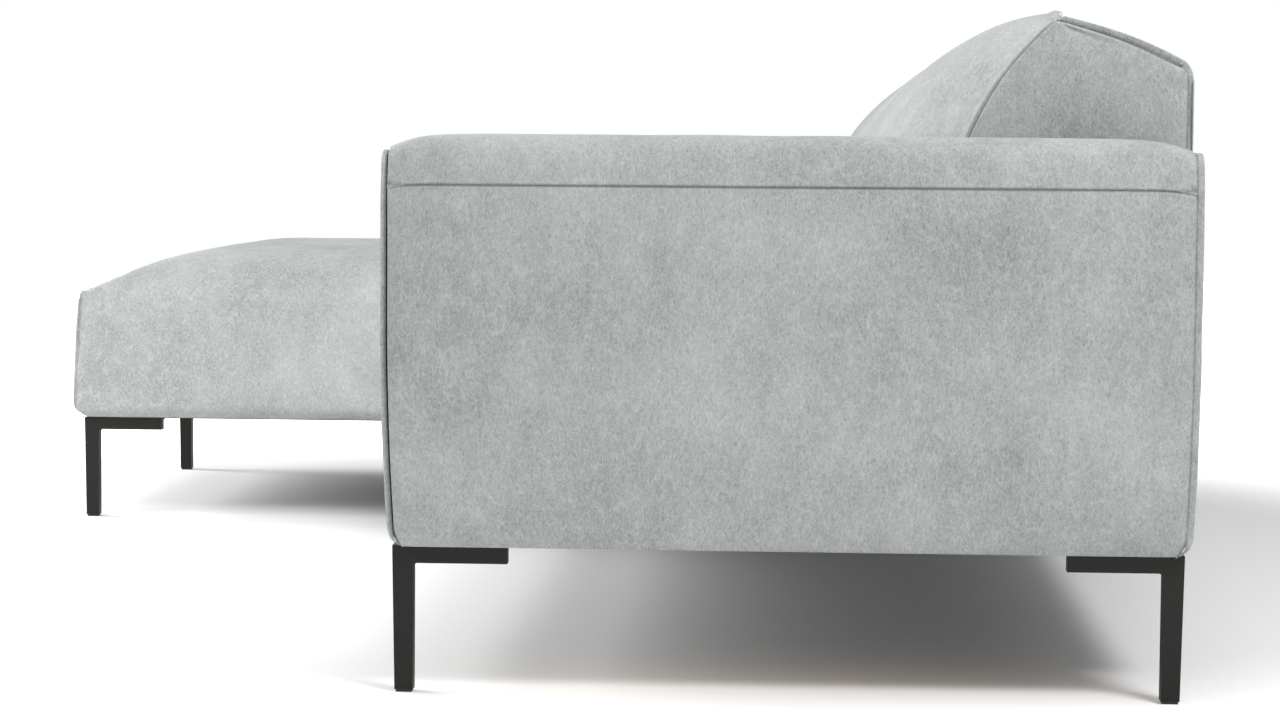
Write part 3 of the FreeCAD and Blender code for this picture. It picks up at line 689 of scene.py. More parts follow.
@dataclass
class SewnRow:
    """Stitches or staples in rows, set out by Geometry Nodes."""

    name: str
    shape: RowShape
    spacing: float
    length: float
    thickness: float
    material: Material

    def tree(self) -> NodeTree:
        """Build the node tree.

        Returns:
            A tree whose inputs are the lines, the spacing, the size of one piece and its material.
        """
        tree = bpy.data.node_groups.new(self.name + "_row", "GeometryNodeTree")
        ports = tree.interface
        ports.new_socket("Lines", in_out="INPUT", socket_type="NodeSocketGeometry")
        ports.new_socket("Spacing", in_out="INPUT", socket_type="NodeSocketFloat")
        ports.new_socket("Size", in_out="INPUT", socket_type="NodeSocketVector")
        ports.new_socket("Finish", in_out="INPUT", socket_type="NodeSocketMaterial")
        ports.new_socket("Row", in_out="OUTPUT", socket_type="NodeSocketGeometry")
        given = add_node(tree, "NodeGroupInput").outputs
        curve = add_node(tree, "GeometryNodeMeshToCurve", inputs={0: given["Lines"]})
        even = add_node(tree, "GeometryNodeResampleCurve", {"mode": "LENGTH"},
                        {"Curve": curve.outputs[0], "Length": given["Spacing"]})
        way = add_node(tree, "GeometryNodeInputTangent")
        turn = add_node(tree, "FunctionNodeAlignRotationToVector", {"axis": "X"}, {"Vector": way.outputs[0]})
        if self.shape is RowShape.STITCH:
            one = add_node(tree, "GeometryNodeMeshUVSphere",
                           inputs={"Segments": 6, "Rings": 4, "Radius": 0.5})
        else:
            one = add_node(tree, "GeometryNodeMeshCube", inputs={"Size": (1.0, 1.0, 1.0)})
        row = add_node(tree, "GeometryNodeInstanceOnPoints", inputs={
            "Points": even.outputs[0], "Instance": one.outputs["Mesh"], "Rotation": turn.outputs[0],
            "Scale": given["Size"]})
        real = add_node(tree, "GeometryNodeRealizeInstances", inputs={0: row.outputs[0]})
        done = add_node(tree, "GeometryNodeSetMaterial",
                        inputs={0: real.outputs[0], "Material": given["Finish"]})
        add_node(tree, "NodeGroupOutput", inputs={0: done.outputs[0]})
        return tree

    def sew(self, lines: Sequence[np.ndarray]) -> Object:
        """Set the pieces out along lines.

        Args:
            lines: Lines in space, each an array of places.

        Returns:
            One plain mesh with every piece of the row.
        """
        points = np.concatenate(lines)
        edges, start = [], 0
        for one in lines:
            edges += [(i, i + 1) for i in range(start, start + len(one) - 1)]
            start += len(one)
        mesh = bpy.data.meshes.new(self.name + "_lines")
        mesh.from_pydata(points.tolist(), edges, [])
        guide = bpy.data.objects.new(self.name + "_lines", mesh)
        bpy.context.scene.collection.objects.link(guide)
        modifier = guide.modifiers.new("row", "NODES")
        modifier.node_group = self.tree()
        values = {"Spacing": self.spacing, "Size": (self.length, self.thickness, self.thickness),
                  "Finish": self.material}
        for item in modifier.node_group.interface.items_tree:
            if item.in_out == "INPUT" and item.name in values:
                modifier[item.identifier] = values[item.name]
        bpy.context.view_layer.update()
        seen = guide.evaluated_get(bpy.context.evaluated_depsgraph_get())
        piece = bpy.data.objects.new(self.name, bpy.data.meshes.new_from_object(seen))
        piece.data.name = self.name
        bpy.context.scene.collection.objects.link(piece)
        bpy.data.objects.remove(guide)
        settle(piece)
        return piece


def settle(piece: Object, nodes: Sequence[str] = ()) -> None:
    """Let a piece ride on the sofa and put it in its nodes' place.

    Args:
        piece: The finished piece.
        nodes: CAD nodes that it stands for.
    """
    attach(piece, BODY)
    if nodes:
        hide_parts(*nodes)
    LOG.info("%s: %d faces", piece.name, len(piece.data.polygons))


@dataclass
class Flange:
    """Two layers of cover sewn flat along an edge, so that they stand out as a thin fin.

    The heels are the shares of the depth by which the root's two corners reach into the cover.
    """

    depth: float = 0.0085
    thickness: float = 0.0030
    wave: float = 0.0005
    wave_length: float = 0.055
    depth_wave: float = 0.05
    depth_wave_length: float = 0.08
    stitched_at: float = 0.4
    heels: tuple[float, float] = (0.05, 0.05)
    seed: int = 3

    def build(self, name: str, path: np.ndarray, reach: np.ndarray, taper: np.ndarray,
              material: Material) -> tuple[Object, list[np.ndarray]]:
        """Sweep the fin along a path.

        Args:
            name: Name of the piece.
            path: Places along the edge, at the fin's root.
            reach: Direction from root to tip at each place.
            taper: Share of the depth that the fin has at each place.
            material: The cover's material.

        Returns:
            The fin, and the lines of stitches on its two faces.
        """
        reach = reach / np.linalg.norm(reach, axis=1)[:, None]
        way = np.gradient(path, axis=0)
        way /= np.maximum(np.linalg.norm(way, axis=1), 1e-12)[:, None]
        side = np.cross(reach, way)
        side /= np.maximum(np.linalg.norm(side, axis=1), 1e-12)[:, None]
        path = path + side * (self.wave * ripple(path, self.wave_length, self.seed))[:, None]
        uneven = self.depth_wave * ripple(path, self.depth_wave_length, self.seed + 1)
        depth = self.depth * taper * (1 + uneven)
        half = self.thickness / 2
        ring = [(-self.heels[0], -1.0), (0.4, -0.9), (0.85, -1.05), (1.0, -0.5), (1.0, 0.5),
                (0.85, 1.05), (0.4, 0.9), (-self.heels[1], 1.0)]
        points = np.stack([path + reach * (depth * out)[:, None] + side * half * over for out, over in ring],
                          axis=1).reshape(-1, 3)
        count, size = len(path), len(ring)
        faces = [[i + j, i + (j + 1) % size, i + size + (j + 1) % size, i + size + j]
                 for i in range(0, (count - 1) * size, size) for j in range(size)]
        faces += [list(range(size)), [(count - 1) * size + j for j in range(size)]]
        piece = new_piece(name, points, faces, material)
        turn_outwards(piece.data)
        line = path + reach * (depth * self.stitched_at)[:, None]
        thread = half * 0.95
        return piece, [line + side * thread, line - side * thread]


def turn_outwards(mesh: Mesh) -> None:
    """Make every face of a closed mesh point outwards."""
    work = bmesh.new()
    work.from_mesh(mesh)
    bmesh.ops.recalc_face_normals(work, faces=work.faces)
    work.to_mesh(mesh)
    work.free()


def refine(piece: Object, levels: int = 1) -> None:
    """Finish a piece with a subdivision surface of equal levels."""
    smooth = piece.modifiers.new("smooth", "SUBSURF")
    smooth.levels = levels
    smooth.render_levels = levels


def thicken(piece: Object, wall: float) -> None:
    """Give a flat piece its wall, half on each side."""
    solid = piece.modifiers.new("wall", "SOLIDIFY")
    solid.thickness = wall
    solid.offset = 0.0


# Padded sub-assemblies
@dataclass
class Cushion:
    """A padded cover that stands for its cover and foam solids."""

    name: str
    nodes: tuple[str, ...]
    pitch: float = 0.014
    lift: float = 0.0004
    fill: float = 0.85
    uneven: float = 0.0006
    uneven_length: float = 0.11
    stitch_rise: float = 0.0002
    seed: int = 1
    air: Inflation = field(default_factory=Inflation)
    notched: bool = field(init=False, default=True)
    low: np.ndarray = field(init=False)
    high: np.ndarray = field(init=False)
    stitches: list[np.ndarray] = field(init=False, default_factory=list)

    def __post_init__(self) -> None:
        """Read the place of the cover from the frame."""
        low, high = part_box(self.nodes[0])
        self.low, self.high = np.array(low), np.array(high)
        self.half = (self.high[0] - self.low[0]) / 2
        self.middle = (self.high[0] + self.low[0]) / 2
        self.floor = self.low[2] + self.lift

    def skin(self) -> WrappedBox:
        """Rows of the cover, before it is shaped."""
        raise NotImplementedError

    def form(self, unit: np.ndarray) -> tuple[np.ndarray, np.ndarray]:
        """Places of the cover's vertices at rest, and the share of painted shade at each, highest in seams
        and slots.
        """
        raise NotImplementedError

    def held(self, unit: np.ndarray) -> np.ndarray:
        """True for each vertex that doesn't swell."""
        raise NotImplementedError

    def trim(self, workshop: Workshop) -> None:
        """Add the flanges and note the stitch lines."""

    def edge(self, across: float | np.ndarray, along: float | np.ndarray,
             up: float | np.ndarray) -> np.ndarray:
        """Places on the form of rows given by their shares.

        Args:
            across: Shares along X.
            along: Shares along Y.
            up: Shares along Z.

        Returns:
            One place for each row, as if the form had no notches.
        """
        self.notched = False
        places, _ = self.form(np.stack(np.broadcast_arrays(across, along, up), axis=1).astype(float))
        self.notched = True
        return places

    def add_fin(self, label: str, path: np.ndarray, reach: np.ndarray, taper: np.ndarray,
                workshop: Workshop, flange: Flange) -> None:
        """Sew a fin on and keep its stitch lines.

        Args:
            label: Word for the fin's edge in its name.
            path: Places along the edge, at the fin's root.
            reach: Direction from root to tip at each place.
            taper: Share of the depth that the fin has at each place.
            workshop: Source of the finishes.
            flange: Sizes of the fin.
        """
        fin, lines = flange.build(f"{self.name}_{label}_flange", path, reach, taper,
                                  workshop.finish(Slot.COVER))
        refine(fin)
        settle(fin)
        self.stitches += lines

    def add_stitches(self, across: float | np.ndarray, along: float | np.ndarray,
                     up: float | np.ndarray) -> None:
        """Note a line of stitches on the form, given by its shares along X, Y and Z."""
        self.stitches.append(self.edge(across, along, up) + np.array([0.0, 0.0, self.stitch_rise]))

    def turn_under(self, z: np.ndarray, radius: float) -> np.ndarray:
        """How far the cover turns in at each height over its rounded base."""
        base = np.clip(1 - (z - self.floor) / radius, 0, 1)
        return radius * (1 - np.sqrt(1 - base ** 2))

    def build(self, workshop: Workshop) -> None:
        """Make the cover, fill it and dress it.

        Args:
            workshop: Source of the finishes.
        """
        skin = self.skin()
        points, shade = self.form(skin.unit)
        held = self.held(skin.unit)
        middle = points.mean(axis=0)
        outwards = points - middle
        outwards /= np.linalg.norm(outwards, axis=1)[:, None]
        waves = ripple(points, self.uneven_length, self.seed)
        points += outwards * (self.uneven * waves * ~held)[:, None]
        piece = new_piece(self.name, points, skin.faces, workshop.finish(Slot.COVER))
        # Painted shade: each vertex's share of the dark seam colour, standing in for the shadow in seams and
        # slots
        layer = piece.data.attributes.new(PAINTED_SEAM_SHADE, "FLOAT", "POINT")
        layer.data.foreach_set("value", np.clip(shade, 0, 1).astype(np.float32))
        self.air.fill(piece, held)
        refine(piece)
        settle(piece, self.nodes)
        self.trim(workshop)
        if self.stitches:
            thread = SewnRow(self.name + "_stitches", RowShape.STITCH, spacing=0.0052, length=0.0036,
                             thickness=0.0011, material=workshop.finish(Slot.COVER))
            thread.sew(self.stitches)


@dataclass
class Arm(Cushion):
    """Panel arm: flat sides, a band with a rolled top, and flanges round its two end panels."""

    roll: float = 0.027
    band: float = 0.058
    band_lean: float = 0.004
    crown: float = 0.002
    front_flange: float = 0.0050
    rear_flange: float = 0.0075
    flange_overlap: float = 0.001
    flange_start: float = 0.022
    front_root: float = 0.0060
    rear_root: float = 0.0016
    ease: float = 0.0015
    curl_run: float = 0.020
    curl_radius: float = 0.034
    end_curl_run: float = 0.010
    slot: float = 0.0120
    slot_set_back: float = 0.0026
    slot_end: float = 0.0019
    slot_side: float = 0.0030
    slot_top: float = 0.0026
    painted_seam_shade: float = 0.55
    end_drop: float = 0.016
    end_run: float = 0.052
    front_lean: float = 0.010
    rear_lean: float = 0.006
    end_height: float = 0.105
    end_curl_fade: float = 0.006
    belly: float = 0.260
    base_round: float = 0.009
    groove: float = 0.0026
    groove_width: float = 0.0015
    skirt_share: float = 0.4
    skirt_width: float = 0.010
    shade_width: float = 0.0014
    slot_below_seam: float = 0.090
    slot_above_seam: float = 0.010
    slot_start: float = 0.030
    slot_bridge: float = 0.006
    rear_slot_share: float = 0.12
    held_corner: float = 0.007
    held_seam: float = 0.0032
    held_base: float = 0.012
    stitch_rise: float = 0.0016
    air: Inflation = field(default_factory=lambda: Inflation(slack=0.0025, cap=0.0030))

    def __post_init__(self) -> None:
        """Work out the lengths that the form uses."""
        super().__post_init__()
        self.top = self.high[2]
        self.seam = self.top - self.band
        self.half -= self.ease
        self.front = self.low[1] + self.front_flange
        self.rear = self.high[1] - self.rear_flange
        self.depth = self.rear - self.front

    def skin(self) -> WrappedBox:
        """Rows of the arm, fine along the band's seam and beside the end panels."""
        width = 2 * self.half
        height = self.top - self.floor
        return WrappedBox(stations(width, self.pitch, (0.0, width)),
                          stations(self.depth, self.pitch, (0.0, self.depth)),
                          stations(height, self.pitch, (self.seam - self.floor, height)))

    def outwards(self, x: np.ndarray, z: np.ndarray) -> tuple[np.ndarray, np.ndarray]:
        """Direction that the sides and the rolled top face.

        Args:
            x: Distance from the arm's middle plane.
            z: Height.

        Returns:
            Parts of the direction along X and Z.
        """
        across = x - np.clip(x, -(self.half - self.roll), self.half - self.roll)
        above = z - np.minimum(z, self.top - self.roll)
        length = np.maximum(np.hypot(across, above), 1e-9)
        return across / length, above / length

    def form(self, unit: np.ndarray) -> tuple[np.ndarray, np.ndarray]:
        """Shape the arm.

        Args:
            unit: Shares across, along and up.

        Returns:
            Places of the vertices, and the share of painted shade at each, from 0 to 1, highest in seams and
            slots.
        """
        u, v, w = unit.T
        x = (2 * u - 1) * self.half
        z = self.floor + w * (self.top - self.floor)
        reach = np.minimum(v, 1 - v) * self.depth
        below = np.minimum(self.half - np.abs(x), self.top - z)
        side = smooth_step(np.abs(x), 0.7 * self.half, 0.95 * self.half)
        dip = self.groove * np.exp(-((z - self.seam) / self.groove_width) ** 2)
        dip += self.skirt_share * self.groove * np.exp(-np.abs(z - self.seam) / self.skirt_width)

        inset, rise = rounded(self.half - np.abs(x), self.top - z, self.roll)
        x = np.sign(x) * (self.half - inset)
        z = self.top - rise
        face_x, face_z = self.outwards(x, z)
        x *= 1 - self.band_lean / self.half * smooth_step(z, self.seam, self.top - self.roll)
        x -= np.sign(x) * dip * side
        z -= self.crown * (x / self.half) ** 2 * smooth_step(z, self.top - self.roll, self.top)

        curl = curled(reach, self.curl_run, self.curl_radius)
        x *= 1 - curl / self.half
        turn = self.turn_under(z, self.base_round)
        x *= 1 - turn / self.half
        end = np.clip(1 - reach / self.end_run, 0, 1)
        z -= self.end_drop * end ** 2 * smooth_step(z, self.top - self.end_height, self.top)

        low = np.clip((self.low[2] + self.belly - z) / self.belly, 0, 1) ** 2
        front = np.clip(1 - 2 * v, 0, 1)
        rear = np.clip(2 * v - 1, 0, 1)
        end_curl = curled(below, self.end_curl_run, self.end_curl_run * 2)
        end_curl *= np.exp(-reach / self.end_curl_fade)
        y = np.where(v < 0.5, self.front + reach + end_curl, self.rear - reach - end_curl)
        y += (self.front_lean * low + turn) * front - (self.rear_lean * low + turn) * rear
        # Painted shade along the band's seam, where its shadow falls
        shade = self.painted_seam_shade * np.exp(-((z - self.seam) / self.shade_width) ** 2) * side
        if self.notched:
            share = smooth_step(z, self.seam - self.slot_below_seam, self.seam + self.slot_above_seam)
            width = self.slot_side + (self.slot_top - self.slot_side) * share
            open_share = np.exp(-((reach / width) ** 4 + (below / self.slot_end) ** 4))
            open_share *= np.where(v < 0.5, 1.0, self.rear_slot_share)
            open_share *= smooth_step(z, self.floor, self.floor + self.slot_start)
            open_share *= 1 - 0.5 * np.exp(-((z - self.seam) / self.slot_bridge) ** 2)
            x -= self.slot * open_share * face_x
            z -= self.slot * open_share * face_z
            y += self.slot_set_back * open_share * np.where(v < 0.5, 1.0, -1.0)
            # Painted shade fills the slot behind the flange, in place of its shadow
            shade += open_share
        return np.stack([self.middle + x, y, z], axis=1), shade

    def held(self, unit: np.ndarray) -> np.ndarray:
        """Hold the seams, the ends' edges and the base.

        Args:
            unit: Shares across, along and up.

        Returns:
            True where the cover keeps its place.
        """
        u, v, w = unit.T
        z = self.floor + w * (self.top - self.floor)
        reach = np.minimum(v, 1 - v) * self.depth
        below = np.minimum(np.minimum(u, 1 - u) * 2 * self.half, self.top - z)
        corner = (reach < self.held_corner) & (below < self.held_corner)
        return (np.abs(z - self.seam) < self.held_seam) | corner | (z < self.floor + self.held_base)

    def trim(self, workshop: Workshop) -> None:
        """Sew the flanges round the end panels and the rows of stitches.

        Args:
            workshop: Source of the finishes.
        """
        rise = np.linspace(0.0, 1, 70)
        over = np.linspace(1, 0, 22)[1:-1]
        across = np.concatenate([np.ones(len(rise)), over, np.zeros(len(rise))])
        up = np.concatenate([rise, np.ones(len(over)), rise[::-1]])
        for label, share, way, depth, root, lean in (
                ("front", 0.0, -1.0, self.front_flange, self.front_root, 0.55),
                ("rear", 1.0, 1.0, self.rear_flange, self.rear_root, 0.10)):
            path = self.edge(across, share, up)
            face_x, face_z = self.outwards(path[:, 0] - self.middle, path[:, 2] + self.end_drop)
            out = np.stack([face_x, np.zeros(len(path)), face_z], axis=1)
            taper = 0.25 + 0.75 * smooth_step(path[:, 2], self.floor, self.floor + self.flange_start)
            path = path - out * (root * taper)[:, None] - np.array([0.0, way * self.flange_overlap, 0.0])
            reach = lean * out + np.array([0.0, way, 0.0])
            self.add_fin(label, path, reach, taper, workshop,
                         Flange(depth=(depth + self.flange_overlap) * math.hypot(1, lean),
                                seed=self.seed + int(share) + 5, stitched_at=0.2))
        along = np.linspace(0.006, 0.994, 90)
        seam = (self.seam - self.floor) / (self.top - self.floor)
        for face in (0.0, 1.0):
            self.add_stitches(face, along, seam)


@dataclass
class Seat(Cushion):
    """Tight seat: upright sides, rolled shoulders, a low front edge and a high crown."""

    roll: float = 0.048
    roll_rise: float = 0.074
    roll_rows: int = 6
    roll_gap: float = 0.004
    shoulder_drop: float = 0.018
    ease: float = 0.0
    front_drop: float = 0.090
    crown_run: float = 0.310
    climb_power: float = 2.27
    front_lean: float = 0.011
    base_round: float = 0.018
    edge_radius: float = 0.008
    free_side: float = 0.0
    soften: float = 0.012
    groove: float = 0.0018
    groove_width: float = 0.0018
    corner_width: float = 0.0016
    corner_set_back: float = 0.0012
    lean_run: float = 0.300
    turn_run: float = 0.150
    held_seam: float = 0.0035
    held_side: float = 0.003
    held_base: float = 0.020
    stitch_set_back: float = 0.0055
    pitch: float = 0.016
    air: Inflation = field(default_factory=lambda: Inflation(slack=0.007, cap=0.0085))

    def __post_init__(self) -> None:
        """Work out the lengths that the form uses."""
        super().__post_init__()
        self.top = self.high[2] - self.ease
        self.front = self.low[1]
        self.depth = self.high[1] - self.low[1]

    def skin(self) -> WrappedBox:
        """Rows of the seat, fine over its shoulders and along its front seam."""
        turns = [self.roll * (1 - math.cos(i * math.pi / (2 * self.roll_rows + 2)))
                 for i in range(1, self.roll_rows + 1)]
        width = 2 * self.half
        across = stations(width, self.pitch, (0.0, width)) * width
        flat = self.roll - self.roll_gap
        across = [x for x in across if min(x, width - x) > flat or min(x, width - x) < 1e-6]
        across = np.array(sorted(across + turns + [width - t for t in turns])) / width
        height = self.top - self.floor
        return WrappedBox(across, stations(self.depth, self.pitch, (0.0,)),
                          stations(height, self.pitch, (height,)))

    def roof(self, side: np.ndarray, forward: np.ndarray) -> np.ndarray:
        """Height of the top over the plan.

        Args:
            side: Distance from the nearer side.
            forward: Distance from the front.

        Returns:
            Heights above the floor.
        """
        edge_height = self.top - self.shoulder_drop - self.roll_rise
        radius = (self.roll ** 2 + self.roll_rise ** 2) / (2 * self.roll)
        turned = radius - np.minimum(side, self.roll)
        rolled = edge_height + np.sqrt(np.maximum(radius ** 2 - turned ** 2, 0))
        inner = np.clip((self.half - side) / (self.half - self.roll), 0, 1)
        over = np.where(side < self.roll, rolled, self.top - self.shoulder_drop * inner ** 2)
        share = np.clip(forward / self.crown_run, 0, 1)
        climb = self.top - self.front_drop * (1 - share) ** self.climb_power
        gap = np.clip(0.5 + 0.5 * (climb - over) / self.soften, 0, 1)
        return climb + (over - climb) * gap - self.soften * gap * (1 - gap) * 0.5

    def form(self, unit: np.ndarray) -> tuple[np.ndarray, np.ndarray]:
        """Shape the seat.

        Args:
            unit: Shares across, along and up.

        Returns:
            Places of the vertices, and the share of painted shade at each, from 0 to 1, highest in seams.
        """
        u, v, w = unit.T
        x = (2 * u - 1) * self.half
        side = self.half - np.abs(x)
        forward = v * self.depth
        roof = self.roof(side, forward)
        z = self.floor + w * (roof - self.floor)
        side_in, forward_in = rounded(side, forward, self.edge_radius)
        x = np.sign(x) * (self.half - np.where(w < 1, side_in, side + (side_in - side) * w))
        y = self.front + forward_in
        turn = self.turn_under(z, self.base_round)
        x *= 1 - turn / self.half
        low = self.floor + self.base_round
        edge = self.top - self.front_drop
        lean = self.front_lean * np.clip((z - low) / (edge - low), 0, 1) ** 2
        y += lean * np.clip(1 - forward / self.lean_run, 0, 1)
        y += turn * np.clip(1 - forward / self.turn_run, 0, 1)
        seam = np.exp(-(np.hypot(forward, roof - z) / self.groove_width) ** 2)
        y += self.groove * seam
        z -= self.groove * seam
        upright = np.exp(-(np.hypot(forward - self.corner_set_back, side) / self.corner_width) ** 2)
        x -= np.sign(x) * self.groove * upright
        # Painted shade in the front seam's groove and the upright corners' grooves, in place of their shadow
        return np.stack([self.middle + x, y, z], axis=1), 0.6 * seam + 0.4 * upright

    def held(self, unit: np.ndarray) -> np.ndarray:
        """Hold the base, the back, the front seam and the sides that meet a neighbour.

        Args:
            unit: Shares across, along and up.

        Returns:
            True where the cover keeps its place.
        """
        u, v, w = unit.T
        side = np.minimum(u, 1 - u) * 2 * self.half
        forward = v * self.depth
        z = self.floor + w * (self.top - self.floor)
        seam = (forward < self.held_seam) & (w > 0.985)
        meets = (side < self.held_side) & (forward > self.free_side)
        return seam | meets | (z < self.floor + self.held_base) | (v > 0.97)

    def trim(self, workshop: Workshop) -> None:
        """Sew a row of stitches above the front panel.

        Args:
            workshop: Source of the finishes.
        """
        self.add_stitches(np.linspace(0.02, 0.98, 80), self.stitch_set_back / self.depth, 1.0)


@dataclass
class Back(Cushion):
    """Back cushion: flat end panels, a swelling front and a flanged top panel that slopes to the rear."""

    # Distance forward from the rear face and height, from the root up to the ridge
    end_line: tuple[tuple[float, float], ...] = (
        (0.268, 0.270), (0.268, 0.452), (0.271, 0.472), (0.280, 0.500), (0.281, 0.560), (0.263, 0.634),
        (0.223, 0.708), (0.172, 0.765), (0.158, 0.772))
    middle_line: tuple[tuple[float, float], ...] = (
        (0.268, 0.270), (0.268, 0.452), (0.345, 0.470), (0.389, 0.497), (0.402, 0.560), (0.376, 0.634),
        (0.315, 0.710), (0.221, 0.775), (0.135, 0.799))
    pillow_power: float = 3.5
    ridge_power: float = 1.7
    rear_height: float = 0.717
    rear_gap: float = 0.0045
    slope_bulge: float = 0.0060
    slope_length: float = 0.165
    front_length: float = 0.500
    # Lengths that the rows of the skin divide
    row_depth: float = 0.220
    row_height: float = 0.560
    slope_along: tuple[float, float] = (0.93, 0.36)
    slope_out: tuple[float, float] = (-0.36, 0.93)
    corner_radius: float = 0.009
    edge_radius: float = 0.005
    curl_run: float = 0.018
    curl_radius: float = 0.034
    slot: float = 0.0280
    slot_drop: float = 0.0016
    slot_end: float = 0.0050
    slot_top: float = 0.0019
    slot_front: float = 0.0140
    groove: float = 0.0032
    groove_width: float = 0.0022
    painted_seam_shade: float = 0.60
    shade_width: float = 0.0012
    # Middle of the end panel, and its reach to the edges, which an inset shrinks
    centre: tuple[float, float] = (0.13, 0.50)
    centre_reach: tuple[float, float] = (0.12, 0.24)
    held_edge: float = 0.0035
    held_corner: float = 0.0070
    stitch_rise: float = 0.0004
    flange_depth: float = 0.0072
    flange_root: float = 0.0050
    flange_rise: float = 0.0045
    flange_sink: float = 0.0005
    rear_depth: float = 1.33
    air: Inflation = field(default_factory=lambda: Inflation(slack=0.008, cap=0.0095))

    def __post_init__(self) -> None:
        """Work out the lengths that the form uses."""
        super().__post_init__()
        self.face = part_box("sofa_rear_panel")[1][1]

    def skin(self) -> WrappedBox:
        """Rows of the back, fine beside its end panels."""
        width = 2 * self.half
        return WrappedBox(stations(width, self.pitch, (0.0, width)),
                          stations(self.row_depth, self.pitch, (0.0, self.row_depth)),
                          stations(self.row_height, self.pitch, (self.row_height,)))

    def front_line(self, up: np.ndarray, line: tuple[tuple[float, float], ...]) -> np.ndarray:
        """Smooth line through the given points, from the root to the ridge.

        Args:
            up: Shares of the way up.
            line: Points of the line.

        Returns:
            Distances forward from the rear face, and heights.
        """
        knots = np.array(line)
        count = len(knots) - 1
        place = np.clip(up, 0, 1) * count
        index = np.minimum(place.astype(int), count - 1)
        share = (place - index)[:, None]
        before = knots[np.maximum(index - 1, 0)]
        start, stop = knots[index], knots[index + 1]
        after = knots[np.minimum(index + 2, count)]
        return 0.5 * (2 * start + (stop - before) * share
                      + (2 * before - 5 * start + 4 * stop - after) * share ** 2
                      + (3 * start - before - 3 * stop + after) * share ** 3)

    def form(self, unit: np.ndarray) -> tuple[np.ndarray, np.ndarray]:
        """Shape the back.

        Args:
            unit: Shares across, along and up.

        Returns:
            Places of the vertices, and the share of painted shade at each, from 0 to 1, highest in seams and
            slots.
        """
        u, v, w = unit.T
        top = np.ones(len(u))
        zero = np.zeros(len(u))

        def front(up: np.ndarray) -> np.ndarray:
            """Front line at each vertex, between the end's and the middle's."""
            ends = self.front_line(up, self.end_line)
            power = self.pillow_power + (self.ridge_power - self.pillow_power) * smooth_step(up, 0.85, 1.0)
            swell = (1 - np.abs(2 * u - 1) ** power)[:, None]
            return ends + (self.front_line(up, self.middle_line) - ends) * swell

        v1, w1 = v[:, None], w[:, None]
        ridge, root = front(top), front(zero)
        rear_top = np.stack([np.full(len(u), self.rear_gap), np.full(len(u), self.rear_height)], axis=1)
        rear_low = np.stack([np.full(len(u), self.rear_gap), root[:, 1]], axis=1)
        bulge = self.slope_bulge * np.sin(math.pi * v1) * np.array([self.slope_out])
        left, right = front(w), rear_low + (rear_top - rear_low) * w1
        floor, roof = root + (rear_low - root) * v1, ridge + (rear_top - ridge) * v1 + bulge
        corners = ((1 - v1) * (1 - w1) * root + v1 * (1 - w1) * rear_low
                   + (1 - v1) * w1 * ridge + v1 * w1 * rear_top)
        line = (1 - v1) * left + v1 * right + (1 - w1) * floor + w1 * roof - corners

        back = (1 - v) * self.slope_length
        under = (1 - w) * (self.rear_height - self.floor)
        back_in, under_in = rounded(back, under, self.corner_radius)
        line += (back_in - back)[:, None] * np.array(self.slope_along)
        line -= (under_in - under)[:, None] * np.array([0.0, 1.0])

        x = (2 * u - 1) * self.half
        reach = self.half - np.abs(x)
        below = np.minimum(np.minimum(v, 1 - v) * self.slope_length, (1 - w) * self.front_length)
        below_in, reach_in = rounded(below, reach, self.edge_radius)
        seam = self.groove * np.exp(-(np.hypot(below, reach) / self.groove_width) ** 2)
        inset = below_in - below + seam
        x = np.sign(x) * (self.half - reach_in - 0.3 * seam)
        x *= 1 - curled(below, self.curl_run, self.curl_radius) / self.half
        # Painted shade along the seams round the end panels
        shade = self.painted_seam_shade * np.exp(-(np.hypot(below, reach) / self.shade_width) ** 2)
        if self.notched:
            on_slope = np.exp(-((1 - w) * self.front_length / self.slot_front) ** 2)
            on_slope *= 1 - 0.9 * smooth_step(v, 0.75, 0.98)
            on_slope *= np.exp(-((below / self.slot_end) ** 8 + (reach / self.slot_top) ** 4))
            inset += self.slot_drop * on_slope
            x -= np.sign(x) * self.slot * on_slope
            # Painted shade fills the slot under the top panel's flange, in place of its shadow
            shade += on_slope
        line = self.centre + (line - self.centre) * (1 - inset[:, None] / np.array([self.centre_reach]))
        return np.stack([self.middle + x, self.face - line[:, 0], line[:, 1]], axis=1), shade

    def held(self, unit: np.ndarray) -> np.ndarray:
        """Hold the seams, the rear and the part behind the seat.

        Args:
            unit: Shares across, along and up.

        Returns:
            True where the cover keeps its place.
        """
        u, v, w = unit.T
        reach = np.minimum(u, 1 - u) * 2 * self.half
        ridge = (w > 0.995) & (v < 0.02)
        below = np.minimum(np.minimum(v, 1 - v) * self.slope_length, (1 - w) * self.front_length)
        return ((reach < self.held_edge) & (below < self.held_corner)) | (v > 0.98) | (w < 0.2) | ridge

